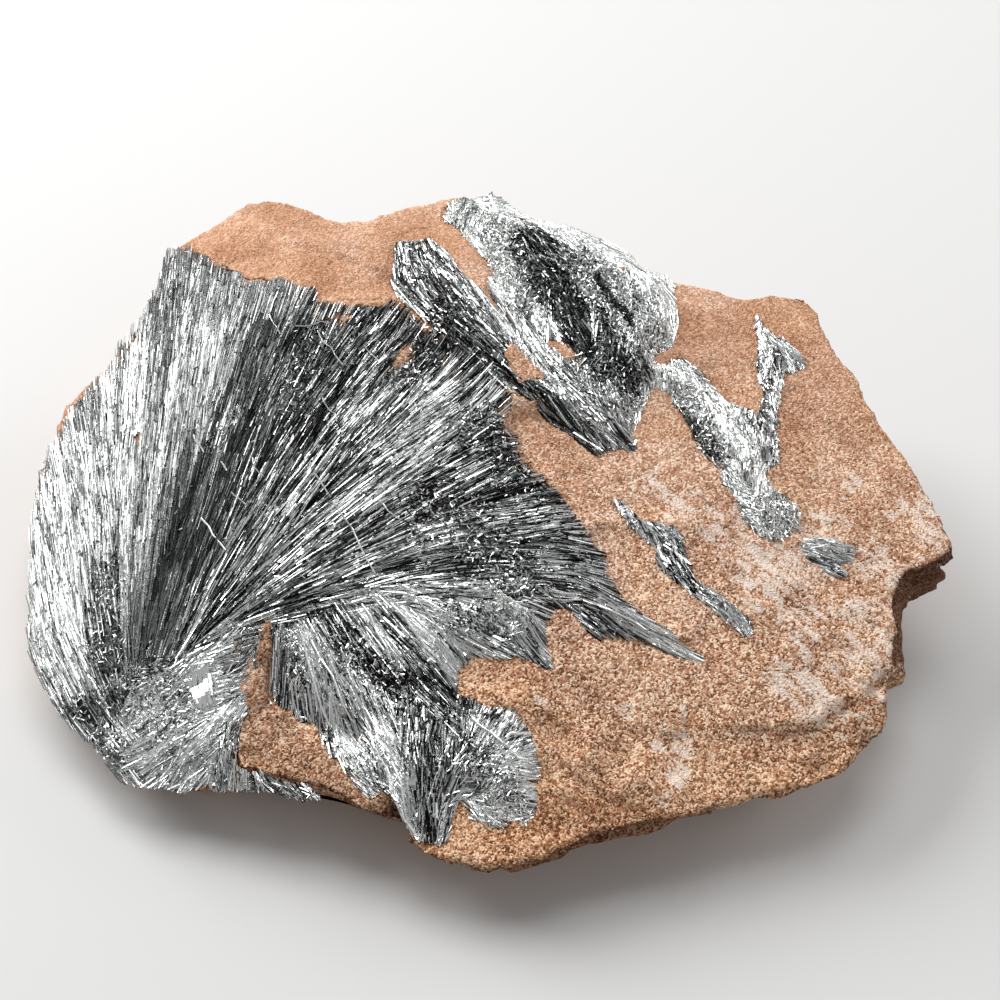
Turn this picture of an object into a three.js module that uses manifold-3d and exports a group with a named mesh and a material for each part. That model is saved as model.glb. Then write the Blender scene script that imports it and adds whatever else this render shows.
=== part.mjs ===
// Pyrolusite specimen: flat radiating sprays of steel-grey needles grown over a slab of brown sandstone.
// Units are millimetres, +Z is up, and the slab rests on its flat underside at z = 0.
import * as THREE from "three";
import { mergeVertices } from "three/addons/utils/BufferGeometryUtils.js";
import Module from "manifold-3d";

const wasm = await Module();
wasm.setup();

const { lerp, smoothstep, degToRad, radToDeg, euclideanModulo } = THREE.MathUtils;

// ---- Driving dimensions: the slab ----

// Outline of the top face from above, anticlockwise from the tip on the right: x, y of each corner.
const rimCorners = [
  [57.1, -8], [54.4, -1.1], [49.6, 8.7], [46.2, 18.6], [43.9, 25.3], [42.7, 28.6], [38.2, 29.2],
  [34.2, 28.2], [27.3, 30.7], [20.8, 32.8], [15.8, 36.3], [12.1, 38.3], [10.3, 37.1], [8.6, 38.8],
  [5.3, 40.1], [2.4, 42.7], [-1.3, 44.6], [-5.3, 43.8], [-10.5, 42.1], [-13.7, 39.7], [-18.3, 39.6],
  [-23.1, 42.9], [-28.8, 45.5], [-32.6, 45.7], [-35.9, 42.7], [-41.7, 41.3], [-42.6, 34.3],
  [-44.2, 29.4], [-49.1, 25.1], [-54.4, 21.2], [-55.3, 14.6], [-56.3, 7.9], [-56, 0.3], [-55, -8.6],
  [-54.6, -13.9], [-52.1, -20.6], [-49.2, -24.3], [-44.8, -28.7], [-41.7, -32.5], [-34.7, -34.8],
  [-28.2, -35.3], [-21.1, -37], [-14.2, -39.5], [-7.9, -42.8], [-2.8, -44.6], [1.4, -46.1], [6, -45.3],
  [12.6, -42.8], [19.3, -41.2], [27.2, -39.2], [35.3, -37.1], [39.9, -35.4], [43.8, -31.9],
  [47.1, -28.5], [48, -24.5], [48.3, -22.4], [49, -19.1], [49, -15.6], [50.5, -11.3], [54.5, -9.9],
];
const columnsPerRimEdge = 2;
const rimChip = 0.35; // how far the rim wanders between its corners

// Planes that the broken top follows: a point on each, its slope, and the direction in degrees that it
// rises toward.
const facets = [
  { at: [0, 0, 23], slope: 4.8, rises: 112 }, // bedding face that carries the sprays
  { at: [-57, 8, 8.6], slope: 30, rises: 8 }, // left shoulder
  { at: [-42, -30, 5], slope: 25, rises: 56 }, // front left shoulder
  { at: [2, -46, 11], slope: 15, rises: 98 }, // front slope
  { at: [42.7, -28, 16.8], slope: 35, rises: 112 }, // broken corner at the front right
  { at: [-42, 40, 22.5], slope: 22, rises: -35 }, // back left shoulder
];
const facetBlend = 2.2; // how softly one plane rounds into the next
const faceSwell = { height: 0.3, span: 11 }; // low undulation of the top
const topRings = [0.22, 0.42, 0.6, 0.76, 0.9, 1];

// Round the slab by direction in degrees: how far the foot of the wall lies in from the rim.
const undercutByDirection = [
  [-60, 12], [-30, 8], [-8, 13], [20, 8], [60, 6], [95, 8], [140, 5], [165, 3], [215, 1.6], [235, 3],
  [262, 8], [282, 12],
];

// Bedding ledges down the wall: share of its height below the rim, and share of the undercut reached there.
const ledges = [
  [0.1, 0.02], [0.17, 0.18], [0.38, 0.25], [0.44, 0.5], [0.66, 0.58], [0.73, 0.84], [1, 1],
];
const ledgeChip = 0.9;

// ---- Driving dimensions: what lies on the slab ----

const rimMargin = 0.4; // how far a spray stays inside the slab's rim
const plateRoot = 1.5; // how deep a sandstone plate is rooted in the slab

// Each sheet is ruled by ribs that run with its fibres, from their source to their tips.
// `seat` is the clearance under it, wide enough that its flat facets clear the slab's.
const mainFan = {
  ribs: [
    [[-46.8, -24.6], [-51.6, -20.4]], [[-47, -23], [-54, -16.5]], [[-46.8, -21.8], [-56, -11]],
    [[-46.4, -21], [-56.4, -3]], [[-46, -20], [-56.8, 7]], [[-45.5, -20], [-56.2, 13.5]],
    [[-45, -20], [-54.2, 19.8]], [[-44.6, -20], [-52.5, 21.4]], [[-44, -20], [-49.6, 23.6]],
    [[-43.5, -20], [-45.6, 27.4]], [[-43, -20], [-43.9, 30]], [[-42.5, -20], [-42.5, 36]],
    [[-42, -20], [-41.7, 40.6]], [[-41.5, -20], [-38.5, 38.2]], [[-41, -20], [-34.8, 34.2]],
    [[-40, -20], [-30, 30]], [[-39, -20], [-26.5, 28.8]], [[-38, -20], [-24.3, 26.9]],
    [[-37, -20], [-20, 25.4]], [[-36, -20], [-16, 24.6]], [[-35.5, -19.8], [-12, 25]],
    [[-35, -19.5], [-9.8, 23.3]], [[-34.2, -19.3], [-6.6, 19.2]], [[-33.5, -19.1], [-2.8, 14.3]],
    [[-32.8, -18.8], [1.1, 11.4]], [[-32.2, -18.5], [4.2, 7.4]], [[-31.6, -18.2], [6, 3.2]],
    [[-31.2, -18.1], [-23.2, -14.3], [-15.1, -10.5], [-7.1, -7], [1, -3.8], [9, -0.8]],
    [[-30.8, -18], [-22.2, -14.9], [-13.6, -12], [-5, -9.2], [3.5, -7.2], [12, -5.5]],
    [[-30.4, -18], [-21.3, -15.4], [-12.2, -13], [-3, -11], [6, -9.8], [15.3, -10]],
    [[-30.1, -18], [-21, -15.7], [-12, -13.7], [-3, -12.2], [6, -11.5], [15.2, -12.5]],
    [[-29.8, -18], [-20.1, -15.9], [-10.4, -14.2], [-0.8, -13.2], [9, -13], [18.5, -16.8]],
    [[-29.5, -18.1], [-19.2, -16.2], [-8.9, -14.7], [1.4, -13.9], [11.7, -14.6], [22, -19.3]],
    [[-29.2, -18.1], [-18.2, -16.4], [-7.2, -15.1], [3.8, -14.5], [14.7, -16.1], [25.7, -22.6]],
    [[-29, -18.2], [-18.6, -16.7], [-8.2, -15.5], [2.2, -15], [12.6, -16.1], [23, -23.1]],
    [[-28.8, -18.2], [-19.3, -17], [-9.9, -15.9], [-0.4, -15.5], [9.1, -15.6], [18.5, -20.8]],
    [[-28.6, -18.3], [-20, -17.3], [-11, -16.4], [-1.6, -16], [8, -15.9], [14.3, -20.8]],
  ],
  seat: 0.45,
  columns: 2,
  rows: 5,
  thick: [1.5, 1.3, 0.8],
  ridge: 0.45,
};
const innerFan = {
  ribs: [
    [[-24, -16.8], [-24.2, -21], [-24, -26]], [[-23, -16.8], [-22.6, -22], [-22, -27]],
    [[-22, -16.7], [-20.5, -22], [-19.5, -29]], [[-20.8, -16.6], [-18.5, -22], [-16, -31]],
    [[-19.6, -16.4], [-16.5, -22], [-12.5, -31]], [[-18.2, -16.2], [-14, -22], [-8, -30]],
    [[-16.6, -16], [-12, -21], [-4.5, -28.8]], [[-15, -15.9], [-10, -20.5], [-2, -27.5]],
    [[-13.2, -15.7], [-8, -20], [-2.2, -24.5]], [[-11.4, -15.6], [-6, -19], [-0.8, -22]],
    [[-9.6, -15.5], [-3, -18], [2, -21]], [[-7.6, -15.4], [0, -17.5], [5, -22.5]],
    [[-5.4, -15.3], [2, -17], [8.3, -24.5]], [[-3, -15.2], [3.5, -16.3], [8.5, -19.5]],
    [[-1, -15.1], [4.5, -15.3], [10, -16]],
  ],
  seat: 0.55,
  columns: 2,
  rows: 3,
  thick: [1.3, 1.5, 0.9],
  ridge: 0.55,
};
const frontFan = {
  ribs: [
    [[-7.3, -42.4], [-8.3, -41], [-9.6, -39.3], [-11.5, -37.3]],
    [[-7, -42.5], [-8.6, -39.5], [-10.8, -36], [-14.5, -32.5]],
    [[-6.8, -42.6], [-8.3, -38.5], [-10.2, -34], [-13, -30.3]],
    [[-6.5, -42.7], [-7.4, -38], [-8.7, -33], [-10.5, -29]],
    [[-6.2, -42.8], [-6.4, -38], [-6.7, -32.5], [-7, -28.4]],
    [[-5.8, -42.9], [-5.4, -38], [-4.8, -32.5], [-4.2, -27.8]],
    [[-5.4, -43], [-4.6, -38], [-3.2, -33], [-1.5, -27.2]],
    [[-5, -43.1], [-3.9, -38], [-2, -33.5], [1, -28.7]],
    [[-4.6, -43.2], [-3.4, -38], [-1, -34.3], [4.5, -29]],
    [[-4.3, -43.3], [-2.9, -38.2], [0, -35.7], [6.2, -31.5]],
    [[-4, -43.4], [-2.6, -39], [0.5, -37], [7.4, -35]],
    [[-3.6, -43.5], [-2.4, -39.6], [0.3, -38], [7, -39.3]],
    [[-3.3, -43.6], [-2.2, -40], [-0.5, -38.7], [4, -41]],
  ],
  seat: 0.65,
  columns: 2,
  rows: 4,
  thick: [0.9, 1.5, 1.1],
  ridge: 0.5,
};
const lowerFan = {
  ribs: [
    [[-28.4, -17.4], [-38, -19], [-46.6, -21.2]], [[-28, -19], [-38, -22.5], [-49.5, -23.6]],
    [[-27.7, -21], [-36, -25.5], [-46.4, -26.8]], [[-27.7, -23], [-35, -27.5], [-43, -30.6]],
    [[-28, -25], [-34, -29.3], [-40, -32.7]], [[-28.2, -27], [-32.5, -31], [-35.5, -34.3]],
    [[-28.2, -29], [-30.5, -31.5], [-32, -34.8]], [[-28.2, -30.5], [-29, -32.4], [-29.5, -34.9]],
    [[-27.6, -33], [-27.5, -33.8], [-27.2, -35.1]], [[-24.6, -34.9], [-24.3, -35.3], [-24, -36]],
    [[-21, -35.8], [-20.7, -36.2], [-20.3, -36.9]], [[-17.6, -37], [-17.3, -37.4], [-16.9, -38.1]],
    [[-14.6, -38.5], [-14.4, -38.8], [-14.1, -39.3]],
  ],
  seat: 0.7,
  columns: 1,
  rows: 4,
  thick: [1.2, 1.7, 0.9],
  ridge: 0.6,
};
const ridgeSpray = {
  ribs: [
    [
      [-11, 34.6], [-11.2, 30], [-10.3, 27.8], [-7.5, 23.7], [-5, 19.9], [-1.5, 15.3], [3, 11.4],
      [8.5, 7.7], [14.5, 2.7],
    ],
    [
      [-10.3, 35.7], [-9, 31.7], [-7.5, 28.6], [-4.5, 25], [-2.5, 20.7], [0.5, 16.6], [4.5, 12.6],
      [9.8, 8.9], [15.5, 3.6],
    ],
    [
      [-8, 36.7], [-6.5, 33.2], [-4.5, 30], [-1.5, 26.2], [0, 22.2], [2.5, 18.1], [6, 13.6],
      [11, 10.1], [17, 4.2],
    ],
    [
      [-5, 36.2], [-4.1, 34], [-1.5, 30.5], [1.6, 26.6], [3.4, 23], [5, 18.6], [8, 14.2], [12.7, 10.8],
      [18.6, 4.4],
    ],
  ],
  seat: 0.6,
  columns: 3,
  rows: 14,
  crest: { height: 1.9, across: 0.42, front: 0.3, back: 0.5 },
  thick: [0.9, 1.3, 0.7],
  ridge: 0.4,
};
const backFan = {
  ribs: [
    [
      [-0.9, 43.6], [-4, 40.6], [-3.4, 38.4], [-1.5, 37], [1.4, 34], [2.6, 29.5], [3, 25.5], [3, 22],
      [4.6, 18], [7, 14.2], [11, 10.6], [15.5, 5],
    ],
    [
      [0.2, 43.4], [0, 40.8], [1.2, 38.6], [3.6, 36.6], [6.5, 34], [9, 29.6], [9.5, 25], [9.5, 20.7],
      [10.5, 17], [12, 13], [14.5, 9.5], [17, 5],
    ],
    [
      [1.4, 42.6], [3.7, 40], [6.2, 37.4], [9.8, 36], [12.8, 33.4], [16, 29], [17, 24.6], [17.5, 20.4],
      [17.6, 16.6], [17.8, 12.7], [18.2, 9], [18.5, 5.5],
    ],
    [
      [2.2, 42.2], [7.2, 38.9], [11, 36.8], [15.8, 35.7], [20.3, 32.4], [24.6, 30.6], [25.3, 27],
      [25.8, 21.5], [22.8, 18], [22.2, 14.6], [21, 11], [19.5, 6.5],
    ],
  ],
  seat: 0.45,
  columns: 4,
  rows: 12,
  crest: { height: 1.3, across: 0.8, front: 0.5, back: 0.2 },
  thick: [0.9, 1.5, 0.8],
  ridge: 0.55,
};
const longStreak = {
  ribs: [
    [
      [20.5, 15.5], [22.8, 12.6], [25, 9], [26.5, 5], [27.5, 3], [29.3, 1.2], [29, -0.2], [30.7, -1.8],
      [31.3, -4.2], [32.3, -6.4], [34.7, -7.9],
    ],
    [
      [23, 17], [25.5, 14.5], [28, 11], [30.5, 8], [32, 5], [33, 2.5], [32, 0.2], [33.5, -1.2],
      [35, -3.6], [35.5, -6], [35.7, -8],
    ],
    [
      [25.5, 18.6], [27.8, 16.5], [30.5, 12], [34.5, 9.5], [37.2, 7], [36.8, 3], [35.2, 0.8],
      [36.3, -1], [38.9, -3.2], [38.9, -5.8], [37, -7.5],
    ],
  ],
  seat: 0.55,
  columns: 3,
  rows: 14,
  thick: [1, 1.3, 0.7],
  ridge: 0.5,
};
const rightFlake = {
  ribs: [
    [
      [35.2, 25.4], [34.8, 22.5], [35.3, 20.5], [34.5, 18], [34.8, 15.5], [35, 12.5], [34.4, 9.5],
      [33.5, 7],
    ],
    [
      [35.9, 25.2], [37, 22.7], [40, 21.2], [41.8, 17.5], [38.3, 15.8], [37.8, 12.5], [37.2, 9.5],
      [36.8, 6.6],
    ],
  ],
  seat: 0.65,
  columns: 3,
  rows: 9,
  thick: [0.6, 1, 0.9],
  ridge: 0.4,
};
const lowerStreak = {
  ribs: [
    [
      [16.3, -3.3], [17.4, -5.8], [20, -8.4], [21.8, -11], [24, -13.1], [27, -15.8], [28.8, -17.7],
      [31, -19],
    ],
    [
      [17, -3.4], [18.6, -5.6], [23.9, -6.2], [24.8, -9.5], [25.5, -12.4], [28.3, -14.6],
      [30.1, -16.3], [32.3, -18.4],
    ],
  ],
  seat: 0.45,
  columns: 4,
  rows: 10,
  thick: [0.6, 1, 0.6],
  ridge: 0.35,
};
const smallSpray = {
  ribs: [
    [[38.8, -8], [41.2, -7.8], [44.4, -8.4]], [[38.9, -8.9], [41, -9.2], [43.7, -10]],
    [[39, -9.7], [40.6, -10.9], [42.7, -11.9]],
  ],
  seat: 0.45,
  columns: 3,
  rows: 4,
  thick: [0.6, 0.9, 0.5],
  ridge: 0.3,
};

// Sandstone plates that stand a little proud of the bedding face, from their inner edge out to the rim.
const backPlate = {
  ribs: [
    [[-40.3, 40.7], [-41.1, 41.3]], [[-38, 38.9], [-38.5, 42.5]], [[-34.4, 34.8], [-35.2, 44]],
    [[-29.6, 30.7], [-31.5, 46]], [[-26, 29.5], [-28.5, 45.5]], [[-23.9, 27.5], [-26, 44.5]],
    [[-19.8, 26], [-23.5, 43.5]], [[-16, 25.2], [-21, 42]], [[-12, 25.7], [-18.5, 40]],
    [[-11.4, 27.2], [-17, 40]], [[-11.9, 30], [-15.3, 40]], [[-11.7, 35], [-12.6, 41]],
    [[-10.9, 36.3], [-10.2, 42.3]], [[-8, 37.4], [-8, 43.5]], [[-4.9, 37], [-6.2, 43.8]],
    [[-4.7, 41], [-3.4, 44.4]], [[-1.8, 43.8], [-1.5, 44.6]],
  ],
  columns: 1,
  rows: 3,
  thick: [1.2, 1.3, 1.1],
  ridge: 0.15,
};
const hookPlate = {
  ribs: [
    [[-25.7, -18.2], [-25.2, -18.1]], [[-26.1, -20.6], [-24.7, -20]], [[-26.9, -23], [-24.5, -22]],
    [[-27.3, -25], [-24.6, -24.5]], [[-27.6, -28], [-24.3, -27]], [[-27.4, -31], [-22.3, -27.7]],
    [[-26.7, -33.2], [-20.2, -29.6]], [[-24, -34.4], [-18, -30.8]], [[-20.5, -35.3], [-15.4, -32.4]],
    [[-17.2, -36.6], [-13, -36]], [[-14.4, -38], [-11.2, -38.8]], [[-12.8, -39.3], [-9.6, -41]],
    [[-10.5, -40.8], [-8.6, -42]],
  ],
  columns: 1,
  rows: 3,
  thick: [2.2, 2, 1.1],
  ridge: 0.2,
};

// ---- Noise and the height of the top face ----

function hash(i, j, seed) {
  let h = Math.imul(i, 374761393) ^ Math.imul(j, 668265263) ^ Math.imul(seed, 974634777);
  h = Math.imul(h ^ (h >>> 13), 1274126177);
  return ((h ^ (h >>> 16)) >>> 0) / 4294967295;
}

// Smooth noise from -1 to 1.
function noise(x, y, seed) {
  const [i, j] = [Math.floor(x), Math.floor(y)];
  const [u, v] = [smoothstep(x - i, 0, 1), smoothstep(y - j, 0, 1)];
  const near = lerp(hash(i, j, seed), hash(i + 1, j, seed), u);
  const far = lerp(hash(i, j + 1, seed), hash(i + 1, j + 1, seed), u);
  return 2 * lerp(near, far, v) - 1;
}

// Height of the stone's top face above the base.
function faceHeight(x, y) {
  const soft = facets.reduce((sum, { at, slope, rises }) => {
    const along = (x - at[0]) * Math.cos(degToRad(rises)) + (y - at[1]) * Math.sin(degToRad(rises));
    return sum + Math.exp(-(at[2] + along * Math.tan(degToRad(slope))) / facetBlend);
  }, 0);
  return -facetBlend * Math.log(soft) + faceSwell.height * noise(x / faceSwell.span, y / faceSwell.span, 11);
}

// Reads a table of [degrees, value] at an angle in radians, all the way round.
function byDirection(table, angle) {
  const first = table[0][0];
  const turn = euclideanModulo(radToDeg(angle) - first, 360) + first;
  const closed = [...table, [first + 360, table[0][1]]];
  const next = closed.findIndex(([degrees]) => degrees > turn);
  const [a, b] = [closed[next - 1], closed[next]];
  return lerp(a[1], b[1], (turn - a[0]) / (b[0] - a[0]));
}

// The rim's corners with chipped points between them.
const rimLoop = rimCorners.flatMap(([x, y], i) => {
  const [nextX, nextY] = rimCorners[(i + 1) % rimCorners.length];
  return Array.from({ length: columnsPerRimEdge }, (_, k) => {
    const share = k / columnsPerRimEdge;
    const point = new THREE.Vector2(lerp(x, nextX, share), lerp(y, nextY, share));
    const chip = k ? rimChip * noise(i * 1.7, k, 5) : 0;
    return point.multiplyScalar(1 + chip / point.length());
  });
});
const rimAngles = rimLoop.map((p) => Math.atan2(p.y, p.x));

// Distance from the middle to the rim in a direction.
function rimRadius(angle) {
  const towards = new THREE.Vector2(Math.cos(angle), Math.sin(angle));
  const edge = rimAngles.findIndex((start, i) => {
    const span = euclideanModulo(rimAngles[(i + 1) % rimAngles.length] - start, 2 * Math.PI);
    return euclideanModulo(angle - start, 2 * Math.PI) <= span;
  });
  const [a, b] = [rimLoop[edge], rimLoop[(edge + 1) % rimLoop.length]];
  const share = a.cross(towards) / a.clone().sub(b).cross(towards);
  return a.clone().lerp(b, share).length();
}

// ---- Sandstone slab ----

// A closed skin over rings of equally many points, from the point at the top to the point at the bottom.
function closedRings(top, rings, bottom) {
  const count = rings[0].length;
  const points = [top, ...rings.flat(), bottom];
  const faces = [];
  for (let i = 0; i < count; i++) {
    const j = (i + 1) % count;
    faces.push(0, 1 + i, 1 + j);
    for (let r = 0; r + 1 < rings.length; r++) {
      const [upper, lower] = [1 + r * count, 1 + (r + 1) * count];
      faces.push(upper + i, lower + i, lower + j, upper + i, lower + j, upper + j);
    }
    const last = 1 + (rings.length - 1) * count;
    faces.push(last + i, points.length - 1, last + j);
  }
  return new THREE.BufferGeometry().setFromPoints(points).setIndex(faces);
}

function slabGeometry() {
  const topFace = topRings.map((share) =>
    rimLoop.map((p) => new THREE.Vector3(p.x * share, p.y * share, faceHeight(p.x * share, p.y * share))),
  );
  const wall = ledges.map(([down, under], level) =>
    rimLoop.map((p, i) => {
      const rimHeight = faceHeight(p.x, p.y);
      const chipped = level + 1 < ledges.length ? ledgeChip * Math.min(1, rimHeight / 12) : 0;
      const undercut = byDirection(undercutByDirection, rimAngles[i]) * under;
      const inset = undercut - chipped * noise(i * 0.45, level * 3.1, 23);
      const shrink = 1 - inset / p.length();
      return new THREE.Vector3(p.x * shrink, p.y * shrink, rimHeight * (1 - down));
    }),
  );
  const summit = new THREE.Vector3(0, 0, faceHeight(0, 0));
  return closedRings(summit, [...topFace, ...wall], new THREE.Vector3(0, 0, 0));
}

// ---- Sheets that lie on the slab ----

function keptInsideRim(point) {
  const furthest = rimRadius(Math.atan2(point.y, point.x)) - rimMargin;
  return point.length() > furthest ? point.setLength(furthest) : point;
}

// How thick a sheet is: `along` runs from its source to its tips and `across` from its first rib to its last.
function sheetThickness({ thick, ridge, crest, columns, ribs }, along, across, column) {
  const body = along < 0.5 ? lerp(thick[0], thick[1], 2 * along) : lerp(thick[1], thick[2], 2 * along - 1);
  const alternate = column % 2 ? 1 : -1;
  const flute = ridge * (0.6 * alternate + 0.7 * noise(column * 0.8, along * 4 + columns, ribs.length));
  if (!crest) return body + flute;
  const side = across < crest.across ? crest.front : crest.back;
  const swell = Math.sin(Math.PI * lerp(0.12, 0.92, along));
  return body + flute + crest.height * swell * Math.exp(-(((across - crest.across) / side) ** 2));
}

// A closed sheet between `under` and a thickness above `over`, both heights above the slab's top face.
function sheetGeometry(sheet, under, over) {
  const curves = sheet.ribs.map(
    (rib) => new THREE.SplineCurve(rib.map(([x, y]) => keptInsideRim(new THREE.Vector2(x, y)))),
  );
  const columnCount = (curves.length - 1) * sheet.columns + 1;
  const rowCount = sheet.rows + 1;
  const tops = [];
  const bottoms = [];
  for (let c = 0; c < columnCount; c++) {
    const rib = Math.min(Math.floor(c / sheet.columns), curves.length - 2);
    for (let r = 0; r < rowCount; r++) {
      const along = r / sheet.rows;
      const a = curves[rib].getPoint(along);
      const b = curves[rib + 1].getPoint(along);
      const plan = keptInsideRim(a.lerp(b, (c - rib * sheet.columns) / sheet.columns));
      const face = faceHeight(plan.x, plan.y);
      const thickness = Math.max(0.45, sheetThickness(sheet, along, c / (columnCount - 1), c));
      tops.push(new THREE.Vector3(plan.x, plan.y, face + over + thickness));
      bottoms.push(new THREE.Vector3(plan.x, plan.y, face + under));
    }
  }
  const at = (c, r) => c * rowCount + r;
  const depth = tops.length;
  const faces = [];
  for (let c = 0; c + 1 < columnCount; c++) {
    for (let r = 0; r + 1 < rowCount; r++) {
      const [p, q, s, t] = [at(c, r), at(c + 1, r), at(c + 1, r + 1), at(c, r + 1)];
      faces.push(p, q, s, p, s, t, p + depth, s + depth, q + depth, p + depth, t + depth, s + depth);
    }
  }
  const border = [];
  for (let r = 0; r + 1 < rowCount; r++) border.push(at(0, r));
  for (let c = 0; c + 1 < columnCount; c++) border.push(at(c, rowCount - 1));
  for (let r = rowCount - 1; r > 0; r--) border.push(at(columnCount - 1, r));
  for (let c = columnCount - 1; c > 0; c--) border.push(at(c, 0));
  border.forEach((p, i) => {
    const q = border[(i + 1) % border.length];
    faces.push(p, q, q + depth, p, q + depth, p + depth);
  });
  return new THREE.BufferGeometry().setFromPoints([...tops, ...bottoms]).setIndex(faces);
}

// ---- Solids ----

function solidOf(geometry) {
  const merged = mergeVertices(geometry, 1e-3);
  const mesh = new wasm.Mesh({
    numProp: 3,
    vertProperties: merged.attributes.position.array,
    triVerts: new Uint32Array(merged.index.array),
  });
  const solid = new wasm.Manifold(mesh);
  if (solid.volume() > 0) return solid;
  const inward = merged.index.array;
  for (let i = 0; i < inward.length; i += 3) [inward[i + 1], inward[i + 2]] = [inward[i + 2], inward[i + 1]];
  return solidOf(merged);
}

function geometryOf(solid) {
  const { vertProperties, triVerts } = solid.getMesh();
  const geometry = new THREE.BufferGeometry();
  geometry.setAttribute("position", new THREE.BufferAttribute(vertProperties, 3));
  geometry.setIndex(new THREE.BufferAttribute(triVerts, 1));
  geometry.computeVertexNormals();
  return geometry;
}

const spraySolid = (sheet) => solidOf(sheetGeometry(sheet, sheet.seat, sheet.seat));
const plateSolid = (sheet) => solidOf(sheetGeometry(sheet, -plateRoot, 0));
const joined = (first, ...rest) => rest.reduce((sum, solid) => sum.add(solid), first);

// ---- The specimen ----

const sandstone = { color: 0xb98a6c, roughness: 0.92, metalness: 0 };
const pyrolusite = { color: 0x6f7477, roughness: 0.35, metalness: 0.85 };

const specimen = new THREE.Group();

function addPiece(name, solid, finish) {
  const piece = new THREE.Mesh(geometryOf(solid), new THREE.MeshStandardMaterial(finish));
  piece.name = name;
  specimen.add(piece);
}

const slab = joined(solidOf(slabGeometry()), plateSolid(backPlate), plateSolid(hookPlate));
const mainFans = [mainFan, innerFan, frontFan, lowerFan].map(spraySolid);
const backFans = [backFan, ridgeSpray, longStreak, rightFlake].map(spraySolid);

addPiece("sandstone_matrix", slab, sandstone);
addPiece("main_spray", joined(...mainFans), pyrolusite);
addPiece("back_spray", joined(...backFans), pyrolusite);
addPiece("lower_streak", spraySolid(lowerStreak), pyrolusite);
addPiece("small_spray", spraySolid(smallSpray), pyrolusite);

// The middle of the bounding box stands over the origin.
const middle = new THREE.Box3().setFromObject(specimen).getCenter(new THREE.Vector3());
specimen.position.set(-middle.x, -middle.y, 0);

export default specimen;
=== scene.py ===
import itertools
import math
from collections import namedtuple

import bpy
import numpy as np
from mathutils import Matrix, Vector
from mathutils.bvhtree import BVHTree


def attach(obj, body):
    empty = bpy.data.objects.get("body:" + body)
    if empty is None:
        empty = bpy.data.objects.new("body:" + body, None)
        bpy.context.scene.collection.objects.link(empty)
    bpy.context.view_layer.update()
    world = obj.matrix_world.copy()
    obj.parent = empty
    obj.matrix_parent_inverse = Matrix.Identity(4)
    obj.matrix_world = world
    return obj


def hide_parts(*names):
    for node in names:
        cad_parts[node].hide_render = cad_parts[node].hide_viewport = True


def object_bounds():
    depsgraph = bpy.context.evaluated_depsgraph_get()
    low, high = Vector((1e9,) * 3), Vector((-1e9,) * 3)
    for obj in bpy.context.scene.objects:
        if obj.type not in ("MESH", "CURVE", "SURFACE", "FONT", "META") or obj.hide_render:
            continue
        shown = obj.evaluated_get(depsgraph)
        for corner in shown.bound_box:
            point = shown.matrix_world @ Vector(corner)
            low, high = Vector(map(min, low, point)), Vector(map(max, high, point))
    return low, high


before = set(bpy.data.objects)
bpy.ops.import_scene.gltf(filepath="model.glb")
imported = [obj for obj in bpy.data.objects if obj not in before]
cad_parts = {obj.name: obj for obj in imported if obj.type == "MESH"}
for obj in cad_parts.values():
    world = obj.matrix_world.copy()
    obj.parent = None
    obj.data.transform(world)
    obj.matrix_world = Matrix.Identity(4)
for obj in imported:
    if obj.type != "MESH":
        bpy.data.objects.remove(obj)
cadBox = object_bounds()

mm = 0.001  # lengths and places below are in millimetres, in the specimen's own frame
boxLow, boxHigh = (np.array(corner) / mm for corner in cadBox)


# objects and materials
def addObject(name, data):
    item = bpy.data.objects.new(name, data)
    bpy.context.scene.collection.objects.link(item)
    return item


def newPiece(name, points, faces, material):
    mesh = bpy.data.meshes.new(name)
    mesh.from_pydata((np.asarray(points) * mm).tolist(), [], faces)
    mesh.materials.append(material)
    mesh.shade_flat()
    return addObject(name, mesh)


def setInputs(tree, node, inputs):
    # each value is a socket to link, or a plain value
    for name, value in inputs.items():
        if isinstance(value, bpy.types.NodeSocket):
            tree.links.new(value, node.inputs[name])
        else:
            node.inputs[name].default_value = value


def newMaterial(name):
    material = bpy.data.materials.new(name)
    material.use_nodes = True
    return material, material.node_tree, material.node_tree.nodes["Principled BSDF"]


# camera and studio
cameraView = {
    "target": (2.33, 3.57, 13.0), "elevation": 50.0, "distance": 243.0,
    "lens": 70.0, "sensor": 36.0, "clipStart": 5.0,
}
studio = {
    "world": (0.26, 0.26, 0.265),
    "floor": {"Base Color": (0.70, 0.70, 0.69, 1), "Roughness": 0.9, "Specular IOR Level": 0.2},
    "floorSide": 6000.0,
    "softboxes": [
        # name, direction from the specimen, distance, side, radiance
        ("key", (-0.62, 0.50, 0.60), 620.0, 420.0, 7.0),
        ("top", (0.05, 0.32, 0.93), 700.0, 360.0, 4.2),
        ("fill", (0.65, -0.55, 0.55), 800.0, 500.0, 0.6),
        ("side", (0.78, 0.48, 0.36), 700.0, 360.0, 2.6),
    ],
}


def addCamera(view):
    data = bpy.data.cameras.new("camera")
    data.lens = view["lens"]
    data.sensor_width = view["sensor"]
    data.clip_start = view["clipStart"] * mm
    camera = addObject("camera", data)
    tilt = math.radians(view["elevation"])
    back = Vector((0, -math.cos(tilt), math.sin(tilt)))
    camera.location = (Vector(view["target"]) + view["distance"] * back) * mm
    camera.rotation_euler = (math.radians(90) - tilt, 0, 0)
    bpy.context.scene.camera = camera


def addSoftbox(name, direction, distance, side, radiance):
    data = bpy.data.lights.new(name, "AREA")
    data.shape = "SQUARE"
    data.size = side * mm
    data.energy = radiance * math.pi * (side * mm) ** 2
    light = addObject(name, data)
    towards = Vector(direction).normalized()
    light.location = towards * distance * mm
    light.rotation_euler = towards.to_track_quat("Z", "Y").to_euler()


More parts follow.
